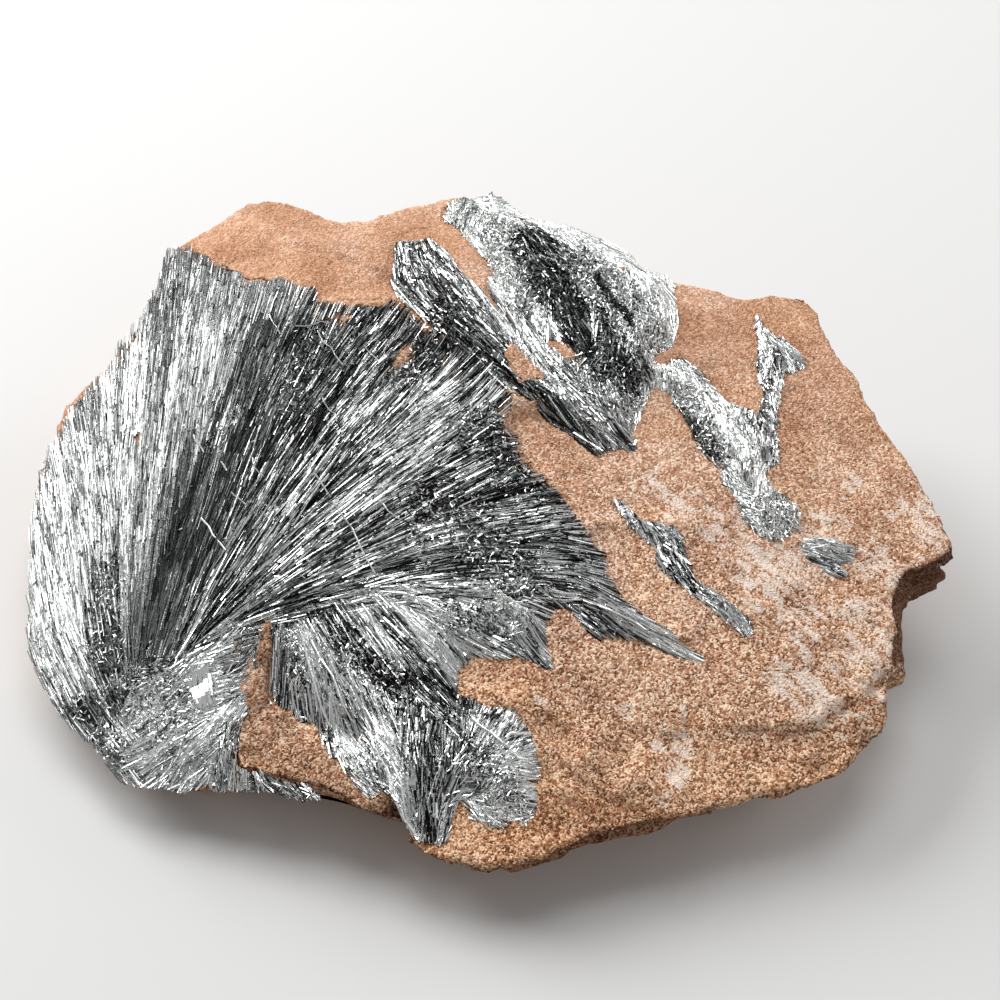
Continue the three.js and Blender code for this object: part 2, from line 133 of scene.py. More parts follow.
def addStudio(look):
    world = bpy.data.worlds.new("studio")
    world.use_nodes = True
    world.node_tree.nodes["Background"].inputs["Color"].default_value = (*look["world"], 1)
    bpy.context.scene.world = world
    bpy.context.scene.view_settings.view_transform = "Standard"
    for softbox in look["softboxes"]:
        addSoftbox(*softbox)
    half = look["floorSide"] / 2
    paper, tree, shader = newMaterial("pale paper")
    setInputs(tree, shader, look["floor"])
    corners = [(-half, -half, 0), (half, -half, 0), (half, half, 0), (-half, half, 0)]
    floor = newPiece("floor", corners, [(0, 1, 2, 3)], paper)


addCamera(cameraView)
addStudio(studio)
print("camera, lights and floor are in place")


# shader helpers
def addNode(tree, kind, inputs, **settings):
    node = tree.nodes.new("ShaderNode" + kind)
    for name, value in settings.items():
        setattr(node, name, value)
    setInputs(tree, node, inputs)
    return node


def calculate(tree, operation, *values):
    return addNode(tree, "Math", dict(enumerate(values)), operation=operation).outputs[0]


def weighted(tree, first, firstShare, second, secondShare):
    rest = calculate(tree, "MULTIPLY", second, secondShare)
    return calculate(tree, "MULTIPLY_ADD", first, firstShare, rest)


def scaled(tree, vector, factors):
    return addNode(tree, "VectorMath", {0: vector, 1: factors}, operation="MULTIPLY").outputs[0]


def noisePattern(tree, vector, scale, detail, output="Fac"):
    return addNode(tree, "TexNoise", {"Vector": vector, "Scale": scale, "Detail": detail}).outputs[output]


def remapped(tree, value, *limits):
    # from the range of the first two limits to that of the other two, or to 0 and 1
    return addNode(tree, "MapRange", dict(enumerate((value, *limits)))).outputs[0]


def ramped(tree, value, stops):
    node = addNode(tree, "ValToRGB", {"Fac": value})
    elements = node.color_ramp.elements
    while len(elements) < len(stops):
        elements.new(0.5)
    for element, (place, colour) in zip(elements, stops):
        element.position = place
        element.color = (*colour, 1)
    return node.outputs["Color"]


def mixed(tree, factor, first, second, kind="MIX"):
    inputs = {0: factor, 6: first, 7: (*second, 1)}
    return addNode(tree, "Mix", inputs, data_type="RGBA", blend_type=kind).outputs[2]


def bumped(tree, height, strength, distance):
    inputs = {"Height": height, "Strength": strength, "Distance": distance * mm}
    return addNode(tree, "Bump", inputs).outputs["Normal"]


def readAttribute(tree, name, output="Fac"):
    return addNode(tree, "Attribute", {}, attribute_name=name).outputs[output]


def newGroup(name, inputs, outputs):
    group = bpy.data.node_groups.new(name, "ShaderNodeTree")
    for side, sockets in (("INPUT", inputs), ("OUTPUT", outputs)):
        for socketName, kind in sockets.items():
            group.interface.new_socket(name=socketName, in_out=side, socket_type="NodeSocket" + kind)
    return group, group.nodes.new("NodeGroupInput").outputs, group.nodes.new("NodeGroupOutput")


def makeGrainGroup():
    # packed sand: a value for each grain, and the height of its round top
    given = {"Place": "Vector", "Grain": "Float"}
    group, source, sink = newGroup("packed sand", given, {"Tone": "Float", "Height": "Float"})
    place = source["Place"]
    warp = noisePattern(group, place, 1.3, 1.0, "Color")
    shifted = addNode(group, "VectorMath", {0: warp, 1: (0.5, 0.5, 0.5), 2: place}, operation="MULTIPLY_ADD")
    perGrain = calculate(group, "DIVIDE", 1.0, source["Grain"])
    cells = addNode(group, "TexVoronoi", {"Vector": shifted.outputs[0], "Scale": perGrain}).outputs
    chosen = addNode(group, "SeparateColor", {"Color": cells["Color"]})
    fine = noisePattern(group, place, 4.2, 3.0)
    dome = remapped(group, cells["Distance"], 0.0, 0.75, 1.0, 0.0)
    setInputs(group, sink, {
        "Tone": weighted(group, chosen.outputs["Red"], 0.55, fine, 0.45),
        "Height": calculate(group, "MULTIPLY_ADD", fine, 0.5, dome),
    })
    return group


def makeDustGroup():
    # pale powder: a painted share broken up into streaks and specks
    group, source, sink = newGroup("pale powder", {"Place": "Vector", "Share": "Float"}, {"Mask": "Float"})
    turned = addNode(group, "Mapping", {"Vector": source["Place"], "Rotation": (0, 0, 0.7)})
    wide = noisePattern(group, scaled(group, turned.outputs[0], (0.3, 1.3, 1.0)), 0.8, 4.0)
    fine = noisePattern(group, source["Place"], 3.4, 2.0)
    level = calculate(group, "SUBTRACT", 1.38, calculate(group, "MULTIPLY", source["Share"], 0.60))
    excess = calculate(group, "SUBTRACT", weighted(group, fine, 0.7, wide, 0.9), level)
    setInputs(group, sink, {"Mask": remapped(group, excess, -0.03, 0.10)})
    return group


def makeStriationGroup():
    # fine lines along a fibre, from its own coordinates: across, along and a number for the needle; their
    # tone swing paints shade between the laths and sheen along them
    group, source, sink = newGroup("striation", {"Fibre": "Vector", "Lines": "Float"}, {"Tone": "Float"})
    stretched = scaled(group, source["Fibre"], (1.0, 0.05, 1.0))
    lines = noisePattern(group, stretched, source["Lines"], 2.0)
    breaks = noisePattern(group, source["Fibre"], 3.0, 1.0)
    setInputs(group, sink, {"Tone": remapped(group, weighted(group, lines, 0.62, breaks, 0.38), 0.3, 0.7)})
    return group


grainGroup = makeGrainGroup()
dustGroup = makeDustGroup()
striationGroup = makeStriationGroup()

sandstoneLook = {
    "grain": 0.24,  # size of a grain
    "stops": [
        (0.16, (0.15, 0.064, 0.032)),
        (0.40, (0.47, 0.245, 0.145)),
        (0.60, (0.68, 0.400, 0.265)),
        (0.84, (1.00, 0.830, 0.670)),
    ],
    "neutral": 0.53,  # the tone that the grains swing about
    # from one y to another: how crisp the grain is, its mean tone, and the warm tint of the front edge
    "crisp": (-30.0, 34.0, 1.45, 0.5),
    "middle": (-10.0, 20.0, 0.565, 0.53),
    "warm": (-42.0, -14.0, 1.0, 0.0),
    "warmTint": (1.0, 0.9, 0.77),
    "ironTint": (1.0, 0.86, 0.66),
    "ironShare": 0.35,
    # dark tint for painted shade on sides, under rims and in crevices, and for dark stone
    "stainAndShade": (0.24, 0.18, 0.15),
    "powder": (0.93, 0.82, 0.72),
    "powderShare": 0.74,
    "roughness": 0.92,
}


def makeSandstone(name, look, looseGrains):
    material, tree, shader = newMaterial(name)
    place = scaled(tree, addNode(tree, "TexCoord", {}).outputs["Object"], (1 / mm,) * 3)
    packed = addNode(tree, "Group", {"Place": place, "Grain": look["grain"]}, node_tree=grainGroup).outputs
    tone = packed["Tone"]
    if looseGrains:
        tone = weighted(tree, readAttribute(tree, "tone"), 0.75, tone, 0.25)
    blotches = remapped(tree, noisePattern(tree, place, 0.16, 3.0), 0.3, 0.7, -0.09, 0.09)
    back = addNode(tree, "SeparateXYZ", {0: place}).outputs["Y"]
    swing = calculate(tree, "SUBTRACT", tone, look["neutral"])
    crisp, middle = (remapped(tree, back, *look[key]) for key in ("crisp", "middle"))
    tone = calculate(tree, "MULTIPLY_ADD", swing, crisp, middle)
    bands = noisePattern(tree, scaled(tree, place, (0.3, 0.3, 1.3)), 1.0, 4.0)
    layers = remapped(tree, bands, 0.3, 0.7, -0.13, 0.09)
    tone = calculate(tree, "MULTIPLY_ADD", layers, readAttribute(tree, "side"), tone)
    colour = ramped(tree, calculate(tree, "ADD", tone, blotches), look["stops"])
    iron = remapped(tree, noisePattern(tree, place, 0.09, 2.0), 0.40, 0.62)
    iron = calculate(tree, "MULTIPLY", iron, look["ironShare"])
    colour = mixed(tree, iron, colour, look["ironTint"], "MULTIPLY")
    colour = mixed(tree, remapped(tree, back, *look["warm"]), colour, look["warmTint"], "MULTIPLY")
    # painted shade on sides, under rims and in crevices, with some dark stone, from the shade attribute
    colour = mixed(tree, readAttribute(tree, "shade"), colour, look["stainAndShade"], "MULTIPLY")
    given = {"Place": place, "Share": readAttribute(tree, "powder")}
    powder = addNode(tree, "Group", given, node_tree=dustGroup).outputs["Mask"]
    colour = mixed(tree, calculate(tree, "MULTIPLY", powder, look["powderShare"]), colour, look["powder"])
    setInputs(tree, shader, {
        "Base Color": colour, "Roughness": look["roughness"], "Specular IOR Level": 0.25,
        "Normal": bumped(tree, packed["Height"], 0.9, 0.12),
    })
    return material


pyrolusiteLook = {
    "lines": 5.0,  # striations in a millimetre
    # a ramp from near black to near white; its light end paints sheen into the colour
    "stops": [
        (0.10, (0.006, 0.006, 0.007)),
        (0.42, (0.060, 0.062, 0.063)),
        (0.58, (0.340, 0.348, 0.342)),
        (0.80, (0.930, 0.945, 0.930)),
    ],
    "metallic": 0.85,
    "roughness": (0.36, 0.16),  # in dark lines and in bright ones
}


def makePyrolusite(name, look):
    material, tree, shader = newMaterial(name)
    given = {"Fibre": readAttribute(tree, "fibre", "Vector"), "Lines": look["lines"]}
    lines = addNode(tree, "Group", given, node_tree=striationGroup).outputs["Tone"]
    swing = remapped(tree, lines, 0.0, 1.0, -1.0, 1.0)
    contrast, tone = (readAttribute(tree, key) for key in ("contrast", "tone"))
    # the striations' swing, scaled by the contrast attribute, is painted shade between laths and sheen along
    # them
    tone = calculate(tree, "MULTIPLY_ADD", swing, contrast, tone)
    setInputs(tree, shader, {
        "Base Color": ramped(tree, tone, look["stops"]), "Metallic": look["metallic"],
        "Roughness": remapped(tree, lines, 0.0, 1.0, *look["roughness"]),
        "Normal": bumped(tree, lines, 0.6, 0.05),
    })
    return material


sandstone = makeSandstone("sandstone", sandstoneLook, False)
looseSand = makeSandstone("loose sand", sandstoneLook, True)
pyrolusite = makePyrolusite("pyrolusite", pyrolusiteLook)
print("materials are made")


# noise and masks over the plan
noisePrimes = np.array([73856093, 19349663, 83492791])


def softStep(value, low, high):
    share = np.clip((value - low) / (high - low), 0, 1)
    return share * share * (3 - 2 * share)


def noiseAt(points, span, seed):
    # smooth noise from -1 to 1
    scaledPoints = np.asarray(points, float) / span
    cell = np.floor(scaledPoints).astype(np.int64)
    blend = softStep(scaledPoints - cell, 0, 1)
    size = cell.shape[1]
    total = np.zeros(len(cell))
    for corner in itertools.product((0, 1), repeat=size):
        code = ((cell + corner) * noisePrimes[:size]).sum(1) + seed * 7919
        code = (code ^ (code >> 13)) * 1274126177
        value = ((code ^ (code >> 16)) & 0xFFFF) / 0xFFFF
        total += value * np.prod(np.where(corner, blend, 1 - blend), axis=1)
    return 2 * total - 1


def manyNoises(points, span, seed, size):
    return np.stack([noiseAt(points, span, seed + k) for k in range(size)], -1)


def unit(vectors, least=1e-9):
    return vectors / (np.linalg.norm(vectors, axis=1)[:, None] + least)


def distanceToSegments(points, starts, ends):
    run = ends - starts
    along = ((points[:, None] - starts) * run).sum(-1) / (run**2).sum(-1)
    nearest = starts + np.clip(along, 0, 1)[..., None] * run
    return np.linalg.norm(points[:, None] - nearest, axis=-1)


def turnedBy(vectors, angle):
    cosine, sine = np.cos(angle), np.sin(angle)
    x, y = vectors[:, 0], vectors[:, 1]
    return np.stack([x * cosine - y * sine, x * sine + y * cosine], -1)


def segments(path):
    # starts and ends of the straight runs of a path, which is its points' x and y by turns
    corners = np.array(path, float).reshape(-1, 2)
    return corners[:-1], corners[1:]


def scarpDrop(points, path):
    # 1 just on the right-hand side of a path, fading out 7 mm from it, and 0 on the left-hand side
    starts, ends = segments(path)
    gaps = distanceToSegments(points, starts, ends)
    nearest = gaps.argmin(1)
    run = (ends - starts)[nearest]
    offset = points - starts[nearest]
    cross = run[:, 0] * offset[:, 1] - run[:, 1] * offset[:, 0]
    signed = np.where(cross < 0, 1, -1) * gaps.min(1) + 0.3 * noiseAt(points, 1.4, 33)
    return softStep(signed, -0.25, 0.35) * (1 - softStep(signed, 1.0, 7.0))


def spotMask(points, spots, rough=0.35):
    # 1 within reach of a spot's path, 0 well outside it, with a ragged edge
    mask = np.zeros(len(points))
    wander = noiseAt(points, 1.3, 31) + 0.6 * noiseAt(points, 0.6, 32)
    for reach, *path in spots:
        starts, ends = segments(path)
        gap = distanceToSegments(points, starts, ends + 1e-6).min(1) + rough * reach * wander
        mask = np.maximum(mask, 1 - softStep(gap, 0.75 * reach, 1.2 * reach))
    return mask


planStep = 0.3
planX = np.arange(boxLow[0] - 2, boxHigh[0] + 2, planStep)
planY = np.arange(boxLow[1] - 2, boxHigh[1] + 2, planStep)
planPoints = np.stack(np.meshgrid(planX, planY, indexing="ij"), -1).reshape(-1, 2)


def topHeights(name):
    # the highest surface of a CAD node over the plan, and NaN beside it
    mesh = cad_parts[name].data
    tree = BVHTree.FromPolygons([v.co for v in mesh.vertices], [p.vertices for p in mesh.polygons])
    down = Vector((0, 0, -1))
    hits = [tree.ray_cast(Vector((x, y, 0.1)), down)[0] for x, y in planPoints * mm]
    heights = [math.nan if hit is None else hit.z / mm for hit in hits]
    return np.array(heights).reshape(len(planX), len(planY))


def neighbours(grid):
    padded = np.pad(grid, 1, mode="edge")
    rows, columns = grid.shape
    return np.stack([padded[i : i + rows, j : j + columns] for i in range(3) for j in range(3)])


def grown(grid, times):
    # fills empty cells from the ones beside them
    for _ in range(times):
        around = neighbours(grid)
        known = ~np.isnan(around)
        mean = np.nansum(around, axis=0) / np.maximum(known.sum(0), 1)
        grid = np.where(np.isnan(grid) & known.any(0), mean, grid)
    return grid


def filledWith(grid, spare):
    return np.where(np.isnan(grid), spare, grid)


def blurred(grid, times):
    for _ in range(times):
        grid = neighbours(grid).mean(0)
    return grid


def sampled(grid, points):
    column = np.clip((points[:, 0] - planX[0]) / planStep, 0, len(planX) - 1.001)
    row = np.clip((points[:, 1] - planY[0]) / planStep, 0, len(planY) - 1.001)
    i, j = column.astype(int), row.astype(int)
    u, v = column - i, row - j
    near = grid[i, j] * (1 - u) + grid[i + 1, j] * u
    far = grid[i, j + 1] * (1 - u) + grid[i + 1, j + 1] * u
    return near * (1 - v) + far * v


def edgeDistance(mask, most):
    # how far each cell is from the edge of the mask, up to about the most
    distance = np.zeros(mask.shape)
    inside = mask
    while distance.max() < most:
        inside = neighbours(inside).all(0)
        if not inside.any():
            break
        distance += planStep * inside
    return distance


# each spray with the cell size of the sheet under its needles
sheetSteps = {"main_spray": 0.6, "back_spray": 0.6, "lower_streak": 0.3, "small_spray": 0.3}
stoneTop = topHeights("sandstone_matrix")
onStone = ~np.isnan(stoneTop)
stoneTop = filledWith(grown(stoneTop, 10), 0.0)
sprayTops = {name: topHeights(name) for name in sheetSteps}
rimDistance = edgeDistance(onStone, 3.0)
steepStep = 0.45  # a rise between cells that marks a wall
seatMargin = 7  # cells beside a spray that its seat may reach
# the natural surface: the slab's recesses under the sprays are levelled with the stone around them
solidTop = np.fmax.reduce(list(sprayTops.values()))
seated = ~np.isnan(solidTop)
beside = seated
for _ in range(seatMargin):
    beside = neighbours(beside).any(0)
steep = neighbours(stoneTop).max(0) - neighbours(stoneTop).min(0) > steepStep
around = blurred(grown(np.where(onStone & ~beside & ~steep, stoneTop, np.nan), 24), 1)
around = np.where(beside, around, stoneTop)
filledTop = grown(solidTop, 10)
seatDepth = softStep(edgeDistance(seated, 4.0), 0.5, 3.0)
around = np.fmin(around, np.where(beside, filledTop + 0.1, np.inf))
level = around * (1 - seatDepth) + np.where(seated, solidTop, around) * seatDepth
level = np.maximum(filledWith(level, filledWith(filledTop, stoneTop)), stoneTop)
print("heights are read from the frame")

# stone that shows through the crust: reach, path
openings = [
    (1.8, 4, 15.2, 5.8, 12.6), (1.15, 9.2, 17.9, 10.6, 16.4), (1.9, -12.4, 36.6, -4.6, 36.6),
    (1.4, -3.4, 34, -2.4, 31, -1.2, 28.4), (0.5, -25, -20.4, -24.7, -24),
    (0.8, -55.2, 14.5, -54.2, 19.2, -51.2, 21.8, -48.2, 24.8, -45, 27.4), (0.8, -9.7, 17.8, -10.8, 15),
    (0.8, -18.5, 22.7, -16.9, 22.5), (0.2, -22.4, 22.7, -18.4, 23.3),
    (0.35, -9.8, 24.6, -8.2, 22.6, -6.4, 20.4), (1.5, -4.2, 35.2, -2.2, 32.6, -0.6, 29.6, 0.2, 27),
    (0.6, 0.2, 27, 1.8, 23), (0.4, 17.4, 29.8, 18.6, 29.2), (0.5, -43.3, 10.4, -42.9, 8.6),
]
# crust beyond the solids' outline: reach, path
extraCrust = {
    "main_spray": [
        (1.3, -8.6, 21.2, -5, 18.2, -0.6, 13.8, 2.2, 9.4), (0.6, -19, 23.8, -14, 23.6, -12, 23.6),
        (1.7, -45.8, -20.4, -42.2, -20), (0.8, -11, 24.6, -7.6, 20.8), (1.2, -32.6, -31.4, -30, -33),
        (1.2, -16.4, -30.8, -14.4, -33.6, -12.2, -37), (1, -27.8, -22.5, -28.6, -30.8),
        (0.8, -27, 28.8, -22, 26.4), (0.7, -39.6, 39, -35.6, 34.4, -31.4, 30.2),
        (1.2, -27, -17.6, -27.2, -22), (0.75, -30, -34.5, -24, -35.8, -19, -37.6),
        (1.6, 0.4, -39.6, 3, -40.2, 5, -39.6), (0.7, 21.6, -21.2, 25, -22.6), (0.5, 12.6, -19, 13.6, -20.4),
        (0.5, 5.6, -22.4, 7.8, -24), (1, -2, -21.8, 4.6, -21.4), (1.6, -41.6, 39.6, -44, 29.6, -46.6, 26.2),
        (2, -56.4, 12, -56.6, 4, -55.4, -8, -53.6, -15, -49, -23.6, -42.4, -31.6, -35, -34.2),
    ],
    "back_spray": [
        (1.2, -3.6, 38.8, -3.4, 40.6, -1.6, 43), (1.3, -2.2, 38, -0.4, 36, 1.4, 33),
        (1.2, 2.2, 34.4, 2.6, 28.6), (1.5, 0.6, 26.8, 2.2, 24.6),
        (1.3, 0.4, 43.2, 5, 39, 12, 36.8, 19.6, 32, 23.6, 30), (0.7, 15.4, 5.2, 18.4, 5),
        (0.9, -10.6, 28, -8.8, 24.4, -5.6, 20),
    ],
    "lower_streak": [
        (0.4, 16.4, -3.6, 18.2, -6.2), (0.6, 21.6, -10.8, 24, -13.4, 26.2, -14.8),
        (0.8, 27.2, -15.6, 30.6, -18.8),
    ],
    "small_spray": [
        (1.1, 39.4, -8.6, 43.4, -9.2), (0.8, 40, -9.6, 42.4, -11.4),
    ],
}


crustEdge = 0.15  # how thick a crust is at its edge


def crustOf(name):
    # where a spray covers the stone, and its surface, which thins out towards its edge
    heights = sprayTops[name]
    solid = ~np.isnan(heights)
    inward = edgeDistance(solid, 3.0).reshape(-1)
    ragged = 0.05 + 0.45 * noiseAt(planPoints, 1.1, 51) + 0.3 * noiseAt(planPoints, 2.6, 52)
    kept = (inward > np.clip(ragged, 0.0, 0.7)) & solid.reshape(-1)
    kept |= spotMask(planPoints, extraCrust[name], 0.4) > 0.5
    kept &= (spotMask(planPoints, openings) < 0.5) & onStone.reshape(-1)
    kept = kept.reshape(solid.shape)
    thin = level + crustEdge
    full = softStep(edgeDistance(kept | ~onStone, 3.0), 0.0, 2.4)
    top = thin * (1 - full) + filledWith(grown(heights, 6), thin) * full
    return kept, blurred(top, 2)


crusts = {name: crustOf(name) for name in sheetSteps}
anyCrust = np.any([kept for kept, _ in crusts.values()], axis=0)
crustTop = np.max([np.where(kept, top, -1.0) for kept, top in crusts.values()], axis=0)
print("crusts are outlined")


def gathered(items, key, width=3, kind=float):
    values = np.empty(len(items) * width, kind)
    items.foreach_get(key, values)
    return values.reshape(-1, width) if width > 1 else values


def setAttribute(piece, name, values):
    values = np.asarray(values, np.float32)
    kind, key = ("FLOAT", "value") if values.ndim == 1 else ("FLOAT_VECTOR", "vector")
    piece.data.attributes.new(name, kind, "POINT").data.foreach_set(key, values.reshape(-1))


def setBakeMap(piece, corners):
    layer = piece.data.uv_layers.new(name="OFBake")
    layer.data.foreach_set("uv", np.asarray(corners, np.float32).reshape(-1))


# sandstone
slab = {
    "voxel": 0.54,
    "swells": [(8.0, 0.30), (3.2, 0.20), (1.5, 0.13), (0.8, 0.09)],  # span and height
    # layers on the sides: how far they run, their thickness and height; then broken blocks
    "bedding": [(13.0, 1.7, 0.30), (5.0, 1.15, 0.16)],
    "blocks": [((6.0, 6.0, 2.4), 0.34), ((2.6, 2.6, 1.1), 0.16)],
    # places with relief that runs one way: direction in degrees, span, height, reach, path
    "ripples": [
        (-40, 1.4, 0.8, 5, 5, -31, 10, -36, 19, -39), (-50, 1.2, 0.45, 3, -26, -20, -25, -30, -14, -38),
        (-45, 1.6, 0.35, 6, 34, -10, 46, -24), (35, 1.5, 0.6, 3.5, 40, -32, 48, -27),
    ],
    # small steps in the surface: how far the right-hand side of a path drops, and the path
    "scarps": [
        (0.9, 33, -30.4, 38, -30.2, 42, -27.4, 47.4, -24), (0.4, 24, -31, 27, -34.6),
        (0.35, 12, -27, 17, -31, 26, -31.4), (0.4, 44, 8, 50, 2, 55, -4), (0.35, -36, 34, -24, 36, -14, 31),
    ],
    # sides that stand out or draw back under the top edge: how far in x and y,
    # how far below the edge this starts and is complete, reach, path
    "ledges": [
        ((0.2, -1.6), 0.5, 2.2, 3.4, 6, -45.2, 12, -43.9, 19, -42.2),
        ((3.2, -1), 1, 4, 4.2, 50.6, -11, 49.8, -15, 48.8, -19),
        ((1, 2.4), 0.6, 2.6, 6, -47, -28, -40, -34, -30, -36, -18, -39, -8, -43),
    ],
    "openingProud": 0.2,  # how far stone stands above the crust where it shows through
    "crustDepth": 0.5,  # how deep the stone lies under a crust
    "mostLift": 1.5,  # the most that the stone is raised to reach a crust
}
# dark stone and painted shade on slopes and crevices that lie away from the light: how dark, reach, path; the
# second list is for the sides only, painted shade on walls under the rim
darkAndShadedSpots = [
    (0.36, 3.2, -26, -18, -26, -27, -22, -33, -12, -38), (0.35, 1.6, 50, -13, 51, -16, 49, -19),
    (0.16, 1.2, 37, -31, 44, -30, 50, -25), (0.1, 4.5, 4, -30, 10, -36, 16, -40),
]
shadedSides = [
    (0.95, 3, -52, -22, -42, -33, -30, -36, -18, -39, -6, -43), (0.85, 3.5, -2, -46, 12, -44, 24, -41.6),
    (1, 4, 56, -8, 51, -11, 49, -18), (0.3, 3, 49, -24, 44, -33, 34, -38),
]
# pale powder: reach, path
powderedSpots = [
    (2.4, 21, -1, 27, -5), (4.2, 32, -8, 38, -15, 45, -25), (3.4, 38, -6, 50, -12), (3, 44, -16, 47, -22),
    (2.4, 34, -24, 40, -28), (1.9, 23, -29, 21.5, -38), (0.8, 6.6, -28, 7.2, -29), (0.7, 15, -28, 17, -29),
    (2.2, 52, -3, 56, -9), (1, 46, 2, 44, -2), (0.7, -34, -27, -31, -30),
]


def setStoneAttributes(piece, points, normalUp, repeats):
    # how much each point is a side, how much painted shade and dark stone it gets, and its share of powder
    plan = points[:, :2]
    side = 1 - softStep(normalUp, 0.1, 0.6)
    below = softStep(sampled(level, plan) - points[:, 2], 0.5, 1.2)
    wall = np.maximum(side, below)
    # every side and all stone below the rim gets a little painted shade
    stainAndShade = 0.12 * wall
    for spots, share in ((darkAndShadedSpots, 1.0), (shadedSides, wall)):
        for dark, *spot in spots:
            stainAndShade = np.maximum(stainAndShade, share * dark * spotMask(plan, [spot]))
    powder = spotMask(plan, powderedSpots, 0.9) * (1 - side)
    for name, values in (("side", side), ("shade", stainAndShade), ("powder", powder)):
        setAttribute(piece, name, np.repeat(values, repeats))


def remeshed(name, node, voxel):
    piece = addObject(name, node.data.copy())
    modifier = piece.modifiers.new("voxels", "REMESH")
    modifier.mode = "VOXEL"
    modifier.voxel_size = voxel * mm
    evaluated = piece.evaluated_get(bpy.context.evaluated_depsgraph_get())
    mesh = bpy.data.meshes.new_from_object(evaluated)
    piece.modifiers.clear()
    piece.data = mesh
    return piece


def roughenedSlab(points, normals, look):
    plan = points[:, :2]
    upper = softStep(normals[:, 2], 0.2, 0.7)
    # the layers stand out most on the side that faces the front
    wall = 1 - softStep(np.abs(normals[:, 2]), 0.35, 0.8)
    wall *= 0.4 + 0.6 * softStep(-normals[:, 1], -0.1, 0.6)
    push = np.zeros(len(points))
    for k, (span, height) in enumerate(look["swells"]):
        push += height * noiseAt(points, span, 61 + k)
    for k, (span, layer, height) in enumerate(look["bedding"]):
        layers = noiseAt(points / [span, span, layer], 1.0, 71 + k)
        push += wall * height * np.sign(layers) * np.abs(layers) ** 0.75
    wander = manyNoises(points, 4.0, 76, 3)
    for k, (size, height) in enumerate(look["blocks"]):
        cell = np.floor((points + 1.2 * wander) / size)
        push += wall * height * noiseAt(cell + 0.02, 1.0, 79 + k)
    for turn, span, height, *spot in look["ripples"]:
        turned = turnedBy(plan, np.full(len(points), -math.radians(turn))) * [0.25, 1.0]
        ridged = 1 - 2 * np.abs(noiseAt(turned, span, 75))
        push += upper * height * ridged * spotMask(plan, [spot], 0.15)
    for drop, *path in look["scarps"]:
        push -= upper * drop * scarpDrop(plan, path)
    # the stone is smooth and lies deeper under a crust
    covered = sampled(anyCrust.astype(float), plan)
    under = covered * upper
    push = np.where(under > 0.05, push * (1 - under) - 0.25 * under, push)
    push *= softStep(points[:, 2], 0.2, 1.5)
    moved = points + normals * push[:, None]
    # the recesses of the seats are filled
    nearSeat = sampled(blurred(beside.astype(float), 2), plan)
    nearSeat *= softStep(sampled(rimDistance, plan), 0.5, 1.4)
    lowest = sampled(blurred(neighbours(stoneTop).min(0), 1), plan)
    onTop = softStep(points[:, 2] - lowest, -0.9, -0.3)
    lift = onTop * nearSeat * (1 - covered) * (sampled(level, plan) + upper * push - moved[:, 2])
    bed = np.minimum(np.where(anyCrust, crustTop, level) - look["crustDepth"], stoneTop + look["mostLift"])
    lift += onTop * covered * np.maximum(sampled(bed, plan) - moved[:, 2], 0)
    moved[:, 2] += lift
    depth = sampled(level, plan) - points[:, 2]
    for out, start, full, *spot in look["ledges"]:
        side = spotMask(plan, [spot], 0.0) * softStep(depth, start, full)
        moved[:, :2] += side[:, None] * out
    show = spotMask(plan, openings) * upper
    rise = sampled(np.where(anyCrust, crustTop, blurred(crustTop, 6)), plan) - moved[:, 2]
    moved[:, 2] += show * np.clip(rise + look["openingProud"], 0, 3)
    return np.clip(moved, boxLow, boxHigh)


def slabMap(mesh, points):
    # bake map: the top, the underside below it, and the walls as a strip along the bottom
    place = points[gathered(mesh.loops, "vertex_index", 1, int)]
    starts, totals = (gathered(mesh.polygons, "loop_" + key, 1, int) for key in ("start", "total"))
    owner = np.repeat(np.arange(len(totals)), totals)
    up = gathered(mesh.polygons, "normal")[owner, 2:]
    share = (place - boxLow) / (boxHigh - boxLow)
    centre = np.add.reduceat(place, starts) / totals[:, None]
    turn = np.arctan2(centre[owner, 1], centre[owner, 0])
    cornerTurn = np.arctan2(place[:, 1], place[:, 0])
    near = turn + (cornerTurn - turn + math.pi) % (2 * math.pi) - math.pi
    top = np.array([0.76, 0.61]) * share[:, :2] + [0.02, 0.37]
    base = np.array([0.3, 0.12]) * share[:, :2] + [0.02, 0.235]
    walls = np.stack([0.03 + 0.94 * (near + math.pi) / (2 * math.pi), 0.02 + 0.2 * share[:, 2]], -1)
    return np.where(up <= -0.5, base, np.where(np.abs(up) < 0.5, walls, top))


def makeSlab(look):
    piece = remeshed("sandstone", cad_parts["sandstone_matrix"], look["voxel"])
    mesh = piece.data
    normals = gathered(mesh.vertex_normals, "vector")
    points = roughenedSlab(gathered(mesh.vertices, "co") / mm, normals, look)
    mesh.vertices.foreach_set("co", (points * mm).reshape(-1))
    mesh.update()
    mesh.materials.clear()
    mesh.materials.append(sandstone)
    mesh.shade_smooth()
    setStoneAttributes(piece, points, normals[:, 2], 1)
    setBakeMap(piece, slabMap(mesh, points))
    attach(piece, "root")
    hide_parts("sandstone_matrix")
    return piece


slabPiece = makeSlab(slab)
print("sandstone:", len(slabPiece.data.polygons), "faces")

# loose sand on the slab
sand = {"count": 17000, "radius": (0.08, 0.16), "wallShare": 0.35, "sunk": 0.25, "seed": 5}


